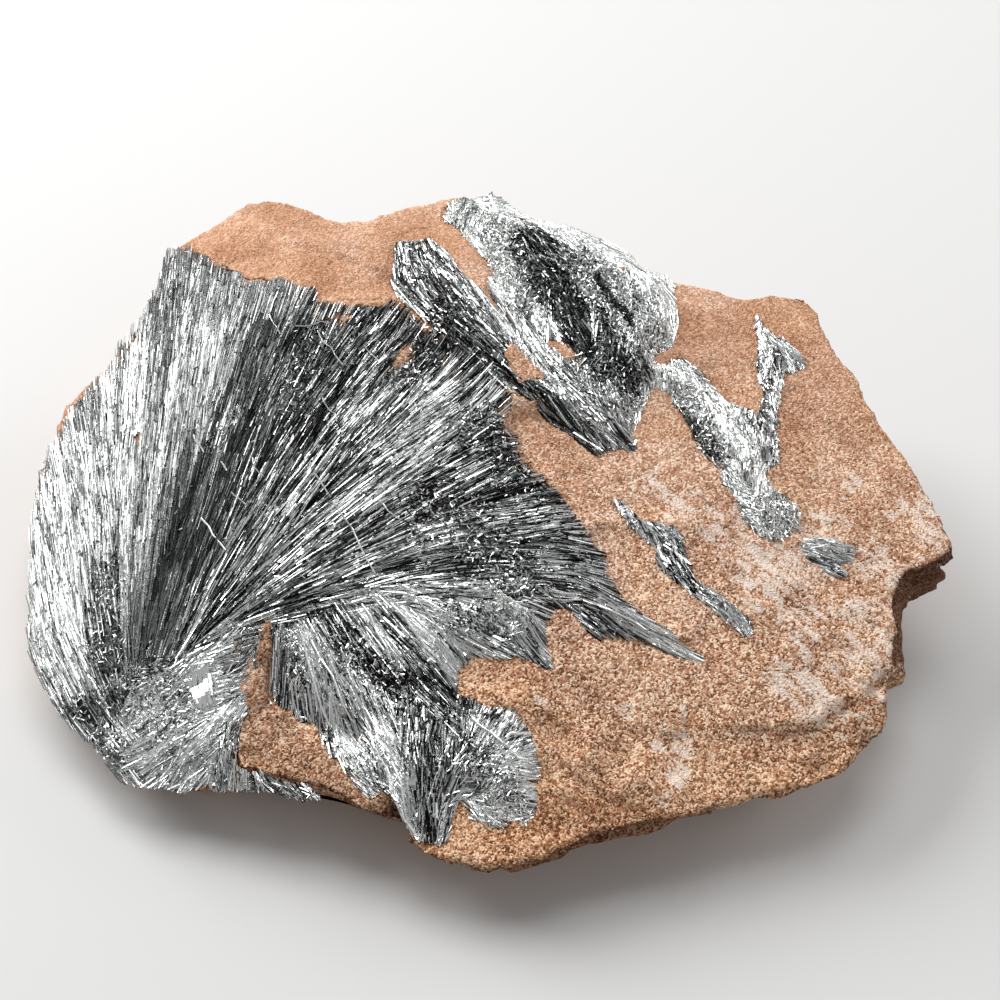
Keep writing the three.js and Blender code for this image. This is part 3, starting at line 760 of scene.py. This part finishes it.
def makeSand(mesh, look):
    rng = np.random.default_rng(look["seed"])
    count = look["count"]
    mesh.calc_loop_triangles()
    corners = gathered(mesh.loop_triangles, "vertices", 3, int)
    triangles = gathered(mesh.vertices, "co")[corners] / mm
    cross = np.cross(triangles[:, 1] - triangles[:, 0], triangles[:, 2] - triangles[:, 0])
    area = np.linalg.norm(cross, axis=1) / 2
    normal = cross / (2 * area[:, None] + 1e-12)
    middle = triangles.mean(1)
    upper = normal[:, 2] > 0.3
    # no grains under a crust, at the foot or on the underside
    covered = upper & (sampled(anyCrust.astype(float), middle[:, :2]) > 0.6)
    covered &= middle[:, 2] < sampled(crustTop, middle[:, :2]) - 0.1
    chance = area * np.where(upper, 1.0, look["wallShare"])
    chance[covered | (middle[:, 2] < 0.6) | (normal[:, 2] < -0.6)] = 0
    chosen = rng.choice(len(area), count, p=chance / chance.sum())
    u, v = rng.random((2, count, 1))
    flip = u + v > 1
    u, v = np.where(flip, 1 - u, u), np.where(flip, 1 - v, v)
    first, second, third = (triangles[chosen, k] for k in range(3))
    centre = first + u * (second - first) + v * (third - first)
    radius = rng.uniform(*look["radius"], count)[:, None]
    centre -= normal[chosen] * radius * look["sunk"]
    # an uneven octahedron for each grain
    axes = np.linalg.qr(rng.normal(size=(count, 3, 3)))[0]
    reach = radius[..., None] * rng.uniform(0.65, 1.2, (count, 6, 1))
    points = np.clip(centre[:, None] + np.concatenate([axes, -axes], axis=1) * reach, boxLow, boxHigh)
    eight = [(0, 1, 2), (1, 3, 2), (3, 4, 2), (4, 0, 2), (1, 0, 5), (3, 1, 5), (4, 3, 5), (0, 4, 5)]
    faces = np.array(eight) + 6 * np.arange(count)[:, None, None]
    handed = np.linalg.det(axes) < 0
    faces[handed] = faces[handed][:, :, ::-1]
    piece = newPiece("sandstone_grains", points.reshape(-1, 3), faces.reshape(-1, 3).tolist(), looseSand)
    setAttribute(piece, "tone", np.repeat(rng.beta(1.6, 1.9, count), 6))
    setStoneAttributes(piece, centre, normal[chosen, 2], 6)
    # each grain has one small square of the bake map
    across = math.ceil(math.sqrt(count))
    number = np.repeat(np.arange(count), 8)
    square = np.stack([number % across, number // across], -1)[:, None]
    setBakeMap(piece, (square + np.array([(0.15, 0.15), (0.85, 0.15), (0.5, 0.85)])) / across)
    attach(piece, "root")
    return piece


sandPiece = makeSand(slabPiece.data, sand)
print("grains:", len(sandPiece.data.polygons), "faces")

# sprays
# Guides run with the fibres from their source to their tips. Each has its tone, the brightness there, partly
# the crust's own grey and partly painted sheen and shade.
# How far single needles differ from it is the spread, one for the fan or one for each guide; this is partly
# random and partly painted sheen from lath to lath.
# Needles have a range of lengths, and stray from the guides' direction by some degrees.
Fan = namedtuple("Fan", "name node length stray spread tones guides")
fans = [
    Fan("main fan", "main_spray", (1.4, 6), 2.2, [
        0.15, 0.15, 0.13, 0.11, 0.09, 0.07, 0.07, 0.1, 0.22, 0.34, 0.46, 0.52, 0.56, 0.6, 0.62, 0.6, 0.6,
    ], [
        0.6, 0.6, 0.6, 0.59, 0.57, 0.55, 0.54, 0.51, 0.49, 0.5, 0.52, 0.53, 0.54, 0.6, 0.67, 0.86, 0.72,
    ], [
        [-41.5, -31.8, -47.6, -25, -52.4, -16, -55.2, -6, -56.9, 4],
        [-41.4, -28.4, -46.4, -21.6, -50.2, -13, -53.2, -1, -56, 14],
        [-42.4, -24.6, -46.4, -16, -49, -4, -51.8, 9, -55, 21], [-42.2, -21.6, -44.8, -12, -47, 3, -50, 24],
        [-41.6, -20, -42.9, -6, -43.8, 12, -45, 31], [-40.8, -20, -40.6, 0, -41.6, 37],
        [-39.6, -20, -34.8, 34.2], [-38.4, -20, -26.5, 28.8], [-36.8, -20, -20, 25.4],
        [-35.5, -19.8, -12, 25], [-34.2, -19.3, -6.6, 19.2], [-32.8, -18.8, 1.1, 11.4],
        [-31.6, -18.2, 6, 3.2], [-30.8, -18, -22.2, -14.9, -5, -9.2, 12, -5.5],
        [-30.1, -18, -21, -15.7, -3, -12.2, 15.2, -12.5],
        [-29.5, -18.1, -19.2, -16.2, 1.4, -13.9, 11.7, -14.6, 22, -19.3],
        [-28.6, -18.3, -11, -16.4, 8, -15.9, 14.3, -20.8],
    ]),
    Fan("inner fan", "main_spray", (1.5, 5.5), 5, 0.6, [0.78, 0.83, 0.83, 0.74, 0.8, 0.79, 0.86, 0.86], [
        [-24, -16.8, -24.2, -21, -24, -26], [-21.5, -16.7, -19.5, -22, -18, -30],
        [-19.6, -16.4, -16.5, -22, -12.5, -31], [-16.6, -16, -12, -21, -4.5, -28.8],
        [-13.2, -15.7, -8, -20, -2.2, -24.5], [-9.6, -15.5, -3, -18, 2, -21],
        [-5.4, -15.3, 2, -17, 8.3, -24.5], [-1, -15.1, 4.5, -15.3, 10, -16],
    ]),
    Fan("front fan", "main_spray", (0.8, 3.8), 9, 0.5, [0.95, 1, 0.6, 0.47, 0.72, 1, 1, 1], [
        [-7.3, -42.4, -9.6, -39.3, -11.5, -37.3], [-6.8, -42.6, -8.3, -38.5, -13, -30.3],
        [-6.2, -42.8, -6.4, -38, -7, -28.4], [-5.4, -43, -4.6, -38, -1.5, -27.2],
        [-4.6, -43.2, -3.4, -38, 4.5, -29], [-4, -43.4, -2.6, -39, 7.4, -35], [-1, -38.4, 2.4, -39.4, 7, -39],
        [-0.4, -39.2, 1.2, -42],
    ]),
    Fan("lower fan", "main_spray", (0.8, 4.5), 14, 0.42, [0.8, 0.85, 0.85, 0.85, 0.8, 0.78], [
        [-28.4, -17.4, -39.6, -21.4], [-28, -19, -35, -22.5, -41.4, -25.4],
        [-27.7, -23, -35, -27.5, -40.6, -30.6], [-28.2, -27, -32.5, -31, -35.5, -34.3],
        [-28.2, -30.5, -29.5, -34.9], [-21, -35.8, -14.1, -39.3],
    ]),
    Fan("ridge", "back_spray", (2, 6), 4, 0.38, [0.56, 0.54, 0.68], [
        [-11, 34.6, -10.3, 27.8, -5, 19.9, 3, 11.4, 14.5, 2.7],
        [-8.6, 36, -7.2, 28.6, -2.3, 20.7, 4.6, 12.6, 15.5, 3.6],
        [-5, 36.2, -1.5, 30.5, 3.4, 23, 8, 14.2, 18.6, 4.4],
    ]),
    Fan("back fan", "back_spray", (0.9, 4.5), 13, [0.3, 0.3, 0.3, 0.22], [0.82, 0.77, 0.76, 1], [
        [-0.9, 43.6, -1.5, 37, 3, 25.5, 7, 14.2, 15.5, 5], [0.2, 43.4, 3.6, 36.6, 9.5, 25, 12, 13, 17, 5],
        [1.4, 42.6, 9.8, 36, 17, 24.6, 17.8, 12.7, 18.5, 5.5],
        [2.2, 42.2, 15.8, 35.7, 25.3, 27, 22.8, 18, 19.5, 6.5],
    ]),
    Fan("streak", "back_spray", (0.7, 3), 16, 0.4, [0.76, 0.92, 0.8], [
        [20.5, 15.5, 26.5, 5, 29.3, 1.2, 34.7, -7.9], [23, 17, 30.5, 8, 33, 2.5, 35.7, -8],
        [25.5, 18.6, 37.2, 7, 35.2, 0.8, 37, -7.5],
    ]),
    Fan("flake", "back_spray", (0.7, 3), 18, 0.38, [0.7, 0.8], [
        [35.2, 25.4, 34.5, 18, 33.5, 7], [35.9, 25.2, 41.8, 17.5, 36.8, 6.6],
    ]),
    Fan("lower streak", "lower_streak", (0.8, 3.5), 12, 0.4, [0.76, 0.82], [
        [16.3, -3.3, 21.8, -11, 31, -19], [17, -3.4, 24.8, -9.5, 32.3, -18.4],
    ]),
    Fan("small spray", "small_spray", (0.8, 3), 8, 0.4, [0.95, 1, 0.84], [
        [38.8, -8, 44.4, -8.4], [38.9, -8.9, 43.7, -10], [39, -9.7, 42.7, -11.9],
    ]),
]
# painted sheen and shade: brightness added, reach, path
sheenAndShadeSpots = [
    (-0.11, 2.4, -25.6, 22, -28.6, 10, -33.4, 1, -36.4, -8), (-0.05, 1.6, -35.2, 2, -36.8, -6, -38, -12),
    (0.2, 1.2, -32.5, 6.5, -30.5, 9), (0.06, 4, -52.5, 10, -52, -8, -49.5, -18),
    (-0.14, 3.2, 2, -3, 8, -6, 11, -11), (0.08, 2.4, -26.5, -13, -14, -4, -8, 2),
    (-0.3, 1.5, -20.4, -16.8, -12.4, -24, -3.4, -27, 3, -29),
    (-0.38, 3, 6.4, 34.4, 8.4, 29, 10.6, 25, 13.4, 20, 17.4, 14.6), (0.4, 2.6, 4, 41, 14, 35.5, 24, 29),
    (0.12, 3, -3, 40, 2, 33, 3, 27), (0.36, 2.8, 22, 28, 23.4, 24, 21.4, 18.6, 22, 16),
    (0.12, 1.8, 16.5, 30, 18, 24, 17.6, 19), (-0.18, 1.5, -8, 30, -4, 22, 1.6, 15, 8, 9, 15, 3),
    (-0.22, 1, -11, 34, -10.6, 28, -6, 21.4, 0, 14), (0.14, 0.8, -5.4, 33, -1, 26, 5, 17),
    (0.2, 1.6, 22, 15, 28, 8, 31, 3), (-0.3, 1.1, 21, 14, 26, 7.6, 28.4, 3.4),
    (0.22, 1.6, 36.6, 20, 39.6, 18), (0.14, 3, 33, -2, 36, -6), (0.2, 1.6, 27, -15, 31.5, -18.8),
    # bright blades, painted highlights
    (0.4, 0.9, -20.8, -20, -15.8, -31), (0.35, 0.5, -19.2, -20.5, -12.5, -29.5),
    (0.35, 0.5, -18.2, -21, -9.6, -29), (0.4, 0.6, -13.9, -16.5, -9.2, -24),
    (0.45, 0.9, -10.6, -16, -2.6, -24.6), (0.35, 0.6, -7.6, -16, -0.6, -22.6),
    (0.35, 0.6, -24.6, -20, -24.8, -26.6), (0.4, 0.7, -7.9, -41.6, -10.6, -31),
    (0.45, 1, -1, -30.4, 3.4, -34, 6.6, -38), (0.45, 0.8, 3, -30.4, 6.6, -31.6),
    (0.3, 1, 0.6, -40.6, 5, -40.4), (0.4, 1.4, -32.4, -22.4, -31.8, -26),
    (0.35, 0.6, -39, -31.4, -33.4, -27.8), (0.35, 0.6, -43.6, -28.2, -37.4, -25.6),
    (0.3, 0.6, -31.8, -31.5, -30.2, -27.6), (0.35, 0.9, 14, -17.5, 19.6, -19.6, 25, -22.4),
    (0.2, 1.4, -1, -15.6, 4.6, -19.4),
    # dark cracks, painted shade
    (-0.5, 0.3, -31.4, -11.4, -28.4, -12.9, -25.4, -12.6), (-0.12, 0.3, -39.6, 12, -42.6, -6),
    (-0.12, 0.5, -34, 5, -39, -12), (-0.15, 0.5, -28, 24, -34.4, 2),
    (-0.5, 0.5, 14.6, 28, 19, 20.6, 20.6, 15), (-0.5, 0.5, 12.8, -18.6, 13.6, -20.2),
    (-0.3, 0.9, -13, -31.5, -11.4, -33.6),
]
# places with short crystals that lie all ways: reach, path
granularSpots = [
    (2.2, -45.4, -8, -45, -16, -43, -24), (2.4, -47, -24, -42.5, -30), (2.2, -23.5, 10, -21, 19),
    (2.6, -10, 14, -5, 20), (4.2, -5, -6, 4, -13), (3.2, 0, 6, 5, -1), (3.8, -42, -21, -36, -26),
    (1.4, -22, -19, -21, -25), (2.2, -16.5, -21.5, -9, -26.5), (1.6, -4, -18.6, 4, -19.4),
    (1.3, -32.5, 6.5, -30.5, 9), (2.2, 0, -34, 4, -41), (3, 2, 36, 6, 26), (3.5, 12, 30, 18, 22),
    (3, 20, 24, 22, 18), (3, 14, 16, 18, 11), (3, 36, -3, 36, -7), (1.6, 25, 12, 29, 3),
]


guideCore = 0.4  # added to the distance from a guide, so that its weight stays finite


def fibreField(points, node):
    # direction of a crust's fibres, number of the nearest fan, and the guide number within it
    rows = []
    for k, fan in enumerate(fans):
        for number, guide in enumerate(fan.guides if fan.node == node else []):
            rows += [(k, number, *start, *end) for start, end in zip(*segments(guide))]
    fanOf, guideOf, *ends = np.array(rows).T
    starts, ends = np.stack(ends[:2], -1), np.stack(ends[2:], -1)
    distance = distanceToSegments(points, starts, ends)
    own = fanOf[distance.argmin(1)].astype(int)
    weight = np.where(fanOf == own[:, None], 1 / (distance + guideCore) ** 4, 0)
    heading = unit(weight @ unit(ends - starts, 0))
    return heading, own, (weight @ guideOf.copy()) / weight.sum(1)


def toneOf(points, own, guide, along):
    # mean brightness, partly the crust's own grey and partly painted sheen and shade, and how far single
    # needles differ from it
    base, spread = np.zeros((2, len(points)))
    for k, fan in enumerate(fans):
        mine = own == k
        numbers = range(len(fan.tones))
        base[mine] = np.interp(guide[mine], numbers, fan.tones)
        spread[mine] = np.interp(guide[mine], numbers, np.broadcast_to(fan.spread, len(numbers)))
    streak = np.stack([guide * 3.0 + own * 40, along / 14], -1)
    drift = 0.16 * noiseAt(streak, 1.0, 81) + 0.12 * noiseAt(streak * [3.1, 1.6], 1.0, 82)
    base += drift * np.clip(spread / 0.4, 0.4, 1.2)
    for change, *spot in sheenAndShadeSpots:
        base += change * spotMask(points, [spot], 0.25)
    return base, spread


def pulledInside(middle, end, kept):
    # shortens a needle until its end lies on the crust
    for _ in range(6):
        outside = sampled(kept, end) < 0.35
        end = np.where(outside[:, None], middle + 0.72 * (end - middle), end)
    return end


def bundleValue(guide, own, along, size, seed):
    # one value from -1 to 1 for each short bundle of needles
    rows = guide * size[0] + own * 57
    columns = along / size[1] + 3 * noiseAt(np.stack([rows * 0.37, along / 9], -1), 1.0, seed + 1)
    cell = np.floor(np.stack([rows, columns], -1))
    return np.clip(1.6 * noiseAt(cell + 0.02, 1.0, seed), -1, 1)


footShare = 0.4  # how much of a needle's depth is below its line


def needleSolids(start, end, bed, width, depth, roll, taper, skew):
    # a three-sided needle for each pair of ends; bed is the slope across it
    axis = unit(end - start)
    side = unit(np.stack([axis[:, 1], -axis[:, 0], np.zeros(len(axis))], -1))
    side[:, 2] = bed
    side = unit(side, 0)
    up = np.cross(side, axis)
    up *= np.where(up[:, 2:] < 0, -1, 1)
    cosine, sine = np.cos(roll)[:, None], np.sin(roll)[:, None]
    side, up = side * cosine + up * sine, up * cosine - side * sine
    half, tall = (width / 2)[:, None], depth[:, None]
    foot = footShare * tall * up
    ridge = skew[:, None] * half * side + (1 - footShare) * tall * up
    section = np.stack([-half * side - foot, half * side - foot, ridge], 1)
    rings = [start[:, None] + section * taper[:, :1, None], end[:, None] + section * taper[:, 1:, None]]
    return np.concatenate(rings, axis=1)


needleSides = [(0, 3, 4, 1), (1, 4, 5, 2), (2, 5, 3, 0)]
needleEnds = [(0, 1, 2), (5, 4, 3)]


def needleMap(count):
    # for each needle three strips of the bake map, and a small triangle at either side of them
    across = max(1, math.ceil(math.sqrt(count / 2.5)))
    number = np.arange(count)
    cell = np.stack([number % across, number // across], -1)[:, None, None]
    size = np.array([1 / across, 1 / math.ceil(count / across)])
    strips = []
    for k in range(3):
        a, b = (k + 0.12) / 3, (k + 0.88) / 3
        strips.append([(0.06, a), (0.94, a), (0.94, b), (0.06, b)])
    ends = [[(x, 0.04), (x + 0.015, 0.29), (x + 0.03, 0.04)] for x in (0.015, 0.955)]
    return [((cell + np.array(corners)) * size).reshape(-1, 2) for corners in (strips, ends)]


# the dark body of a crust: how far its top is below the crust's surface and at most into the stone,
# how far it reaches into the stone, its thickness, and how much lower its tone is than the needles', a
# painted shade in the gaps between them
sheet = {
    "wander": 0.25, "sunk": 0.26, "swell": 0.08, "embedded": 0.12, "depth": 0.5, "thickness": 0.45,
    "gapShade": 0.28, "tone": (0.08, 0.5), "drift": 0.12, "contrast": 0.25,
}


def crustBase(kept, top, step):
    # a closed sheet under the needles, from above the stone down into it
    stride = max(1, round(step / planStep))
    on = neighbours(kept).all(0)[::stride, ::stride]
    cells = on[:-1, :-1] & on[1:, :-1] & on[:-1, 1:] & on[1:, 1:]
    used = np.zeros(on.shape, bool)
    for i, j in itertools.product((0, 1), repeat=2):
        used[i : i + cells.shape[0], j : j + cells.shape[1]] |= cells
    index = used.cumsum().reshape(used.shape) - 1
    flat = planPoints.reshape(*kept.shape, 2)[::stride, ::stride][used]
    flat += sheet["wander"] * manyNoises(flat, 0.7, 91, 2)
    high = sampled(top, flat) - sheet["sunk"] + sheet["swell"] * noiseAt(flat, 0.9, 93)
    low = sampled(stoneTop, flat)
    upper = np.column_stack([flat, np.maximum(high, low - sheet["embedded"])])
    lower = np.column_stack([flat, np.maximum(low - sheet["depth"], upper[:, 2] - sheet["thickness"])])
    count = len(upper)
    faces = []
    for i, j in zip(*np.nonzero(cells)):
        a, b, c, d = index[i, j], index[i + 1, j], index[i + 1, j + 1], index[i, j + 1]
        faces.append((a, b, c, d))
        faces.append((d + count, c + count, b + count, a + count))
        for di, dj, p, q in ((0, -1, a, b), (1, 0, b, c), (0, 1, c, d), (-1, 0, d, a)):
            if not cells[i + di, j + dj]:
                faces.append((p, p + count, q + count, q))
    return np.concatenate([upper, lower]), faces


def makeSheet(node, step):
    kept, top = crusts[node]
    points, faces = crustBase(kept, top, step)
    piece = newPiece(node + "_sheet", points, faces, pyrolusite)
    heading, own, guide = fibreField(points[:, :2], node)
    along = (points[:, :2] * heading).sum(1)
    base, _ = toneOf(points[:, :2], own, guide, along)
    # the sheet's lowered tone is painted shade between the needles
    tone = np.clip(base - sheet["gapShade"], *sheet["tone"]) + sheet["drift"] * noiseAt(points, 0.9, 94)
    setAttribute(piece, "tone", tone)
    setAttribute(piece, "contrast", np.full(len(points), sheet["contrast"]))
    setAttribute(piece, "fibre", np.stack([guide * 5 + own * 57, along, points[:, 2] * 0], -1))
    share = (points - boxLow) / (boxHigh - boxLow)
    corners = np.array(faces).reshape(-1)
    onTop = corners < len(points) // 2
    across = np.where(onTop, 0.01, 0.51) + 0.48 * share[corners, 0]
    setBakeMap(piece, np.column_stack([across, 0.01 + 0.98 * share[corners, 1]]))
    finishSpray(piece, node)


def finishSpray(piece, node):
    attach(piece, "root")
    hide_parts(node)
    print(piece.name + ":", len(piece.data.polygons), "faces")


# short crystals in the granular places
shortCrystal = {
    "turn": 0.8, "length": (0.3, 0.75), "width": (0.15, 0.3), "proud": (0, 0.12), "pitch": 0.12, "roll": 50,
}
# bright lines and blades, with a painted highlight in their tone: each is cut into uneven pieces, so that it
# follows the surface
highlightLine = {
    "pieces": 4, "rough": 0.3, "height": (0.2, 0.12), "depth": (0.1, 0.05), "taper": (0.7, 0.5), "tone": 0.95,
}


def linePieces(lines, top, look):
    # one row for each piece, with the columns of the table in makeNeedles
    rows = []
    for x0, y0, x1, y1, width in lines:
        stops = np.linspace((x0, y0), (x1, y1), look["pieces"] + 1)
        stops += look["rough"] * manyNoises(stops, 0.9, 87, 2)
        for a, b in zip(stops, stops[1:]):
            heights = sampled(top, np.array([a, b])) + look["height"][0] + look["height"][1] * width
            aside = np.array([b[1] - a[1], a[0] - b[0]]) / (2 * np.linalg.norm(b - a))
            slopes = sampled(top, (a + b) / 2 + np.array([aside, -aside]))
            depth = look["depth"][0] + look["depth"][1] * width
            shape = [slopes[0] - slopes[1], width, depth, 0, *look["taper"], 0]
            rows.append([*a, heights[0], *b, heights[1], *shape, look["tone"], 0.2])
    return np.array(rows).reshape(-1, 15)


def makeNeedles(name, look, short):
    rng = np.random.default_rng(look["seed"])
    kept, top = crusts[look["node"]]
    reachable = (kept | neighbours(kept).any(0)).astype(float)
    slots = planPoints[kept.reshape(-1)]
    wanted = int(look["count"] * look["spare"])
    slots = np.repeat(slots, 1 + wanted // len(slots), axis=0)
    slots = slots[rng.permutation(len(slots))[:wanted]]
    middle = slots + rng.uniform(-0.5, 0.5, slots.shape) * planStep
    heading, own, guide = fibreField(middle, look["node"])
    named = [k for k, fan in enumerate(fans) if fan.name in look["fans"]]
    chosen = np.flatnonzero(np.isin(own, named))[: look["count"]]
    middle, heading, own, guide = (values[chosen] for values in (middle, heading, own, guide))
    count = len(middle)
    along = (middle * heading).sum(1)
    grainy = spotMask(middle, granularSpots) + look["grains"] > rng.uniform(0.3, 1.6, count)

    def either(fibres, grains):
        return np.where(grainy, grains, fibres)

    stray, shortest, longest = np.array([(fan.stray, *fan.length) for fan in fans])[own].T
    bundle = look["bundleTurn"] * stray * bundleValue(guide, own, along, (2.2, 9.0), 83)
    angle = np.radians(rng.normal(0, 0.7, count) * stray + bundle)
    heading = turnedBy(heading, either(angle, rng.normal(0, short["turn"], count)))
    length = shortest + (longest - shortest) * rng.beta(1.3, 2.2, count)
    length = either(length, rng.uniform(*short["length"], count))
    before = rng.uniform(0.3, 0.7, count)
    start = pulledInside(middle, middle - heading * (length * before)[:, None], reachable)
    end = pulledInside(middle, middle + heading * (length * (1 - before))[:, None], reachable)
    width = either(rng.uniform(*look["width"], count), rng.uniform(*short["width"], count))
    depth = width * rng.uniform(0.4, 0.9, count)
    lift = look["lift"] + look["bundleLift"] * bundleValue(guide, own, along, (5.0, 5.0), 84)
    lift += rng.uniform(-look["loose"], look["loose"], count)
    lift = either(lift, lift + rng.uniform(*short["proud"], count))
    pitch = either(rng.normal(0, look["pitch"], count), rng.normal(0, short["pitch"], count))
    heightMiddle, heightStart, heightEnd = (sampled(top, place) for place in (middle, start, end))
    bow = np.clip(0.5 * (heightMiddle - (heightStart + heightEnd) / 2), -0.3, 0.12)
    start = np.column_stack([start, heightStart + bow + lift - pitch])
    end = np.column_stack([end, heightEnd + bow + lift + pitch])
    aside = turnedBy(heading, np.full(count, -math.pi / 2)) * 0.5
    bed = sampled(top, middle + aside) - sampled(top, middle - aside)
    tone, spread = toneOf(middle, own, guide, along)
    tone = np.clip(tone + spread * (rng.beta(0.6, 0.6, count) * 2 - 1), 0.02, 1.0)
    depth *= np.clip(spread / 0.3, 0.55, 1.0)
    leaning = look["bundleRoll"] * bundleValue(guide, own, along, (6.0, 4.0), 86)
    leaning += rng.normal(0, look["roll"], count)
    roll = np.radians(leaning) * np.clip(spread / 0.4, 0.2, 1.1)
    roll = either(roll, np.radians(rng.uniform(-short["roll"], short["roll"], count)))
    taper = np.column_stack([rng.uniform(0.55, 1.0, count), rng.uniform(0.3, 0.9, count)])
    skew = rng.uniform(-0.9, 0.9, count)
    table = np.column_stack([start, end, bed, width, depth, roll, taper, skew, tone, spread])
    table = np.vstack([table, linePieces(look["lines"], top, highlightLine)])
    start, end, taper = table[:, :3], table[:, 3:6], table[:, 10:12]
    bed, width, depth, roll = table[:, 6:10].T
    skew, tone, spread = table[:, 12:].T
    solids = np.clip(needleSolids(start, end, bed, width, depth, roll, taper, skew), boxLow, boxHigh)
    count = len(table)
    number = np.arange(count)[:, None, None] * 6
    quads = (np.array(needleSides) + number).reshape(-1, 4)
    caps = (np.array(needleEnds) + number).reshape(-1, 3)
    piece = newPiece(name, solids.reshape(-1, 3), quads.tolist() + caps.tolist(), pyrolusite)
    setAttribute(piece, "tone", np.repeat(tone, 6))
    setAttribute(piece, "contrast", np.repeat(look["contrast"] * spread, 6))
    # a fibre's own coordinates: across, along and a number for the needle
    shift = rng.uniform(0, 500, count)
    wide = np.stack([-width / 2, width / 2, skew * width / 2] * 2, 1) + shift[:, None]
    far = np.linalg.norm(end - start, axis=1)[:, None] * [0, 0, 0, 1, 1, 1]
    fibre = np.stack([wide, far, np.repeat(shift[:, None], 6, 1)], -1)
    setAttribute(piece, "fibre", fibre.reshape(-1, 3))
    setBakeMap(piece, np.concatenate(needleMap(count)))
    finishSpray(piece, look["node"])


# bright lines across the fibres and blades along them, painted highlights: from one end to the other, and the
# width
crossLines = [
    (-27.2, 24.4, -25.2, 20, 0.3), (-23.4, 21.2, -18.8, 21.6, 0.3), (-20.6, 20, -17, 15, 0.3),
    (-14.4, 17.4, -12.8, 15.2, 0.3), (-19.6, 10, -17.4, 6.6, 0.25), (-35.3, 7.5, -34, 4.6, 0.3),
    (-31.8, 3, -30.7, 1.2, 0.3), (-27.6, 2.4, -26.4, 0.2, 0.25), (-29.9, -1.4, -27.9, -3.4, 0.3),
    (-33.6, -4.2, -30.2, -8.6, 0.35), (-19.8, 0, -16.4, -5.6, 0.3), (-16.4, -5.6, -12.2, -13.6, 0.3),
    (-12, -4, -9.6, -7, 0.3),
]
blades = [
    (-33.9, -23.2, -32.6, -26.4, 0.8), (-33.4, -22.8, -32.1, -26.8, 0.9), (-32.9, -22.4, -31.6, -26.6, 0.9),
    (-32.4, -22, -31.2, -26.2, 0.9), (-31.9, -21.8, -30.9, -25.4, 0.8), (-20.5, -20, -17.4, -29.6, 0.5),
    (-19.4, -20.6, -14.6, -29.4, 0.4), (-24.4, -20.4, -24.2, -26.4, 0.4), (-13.8, -16.8, -10, -23.6, 0.4),
    (-10.4, -17, -4.6, -23.8, 0.5), (-7.6, -16.6, -2.6, -22.6, 0.35), (-12.6, -30.6, -8.6, -40.4, 0.5),
    (-11.2, -30, -8, -40, 0.4), (-1, -30.4, 3.6, -34.4, 0.5), (3, -32.8, 5.6, -32.3, 0.6),
    (3.4, -34.8, 5.8, -35.4, 0.5), (-38.8, -31.4, -33.8, -28, 0.35), (13.8, -17.4, 19.4, -19.8, 0.35),
]
# "spare" is how many needles are tried for each one wanted, and "grains" adds to the short crystals.
# Needles turn, lift and roll in bundles, and each one is a little loose and pitched.
everyNeedle = {
    "spare": 1.0, "width": (0.14, 0.32), "roll": 22.0, "lift": -0.1, "lines": [], "contrast": 0.78,
    "bundleTurn": 1.2, "bundleLift": 0.12, "bundleRoll": 20, "loose": 0.08, "pitch": 0.03,
}
needles = {
    "main_fan_needles": {
        "node": "main_spray", "fans": ["main fan"], "count": 24300, "spare": 1.7, "grains": 0.4, "seed": 11,
        "width": (0.11, 0.27), "roll": 20.0, "lines": crossLines,
    },
    "front_fan_needles": {
        "node": "main_spray", "fans": ["inner fan", "front fan", "lower fan"], "count": 15000, "spare": 5.0,
        "grains": 0.5, "seed": 15, "width": (0.11, 0.28), "lines": blades,
    },
    "back_fan_needles": {
        "node": "back_spray", "fans": ["ridge", "back fan"], "count": 15000, "spare": 1.6,
        "grains": 0.6, "seed": 12,
    },
    "streak_needles": {
        "node": "back_spray", "fans": ["streak", "flake"], "count": 5000, "spare": 4.0,
        "grains": 0.7, "seed": 16,
    },
    "lower_streak_needles": {
        "node": "lower_streak", "fans": ["lower streak"], "count": 900, "grains": 0.6, "seed": 13,
    },
    "small_spray_needles": {
        "node": "small_spray", "fans": ["small spray"], "count": 320, "grains": 0.4, "seed": 14,
    },
}
for nodeName, sheetStep in sheetSteps.items():
    makeSheet(nodeName, sheetStep)
for pieceName, needleLook in needles.items():
    makeNeedles(pieceName, {**everyNeedle, **needleLook}, shortCrystal)
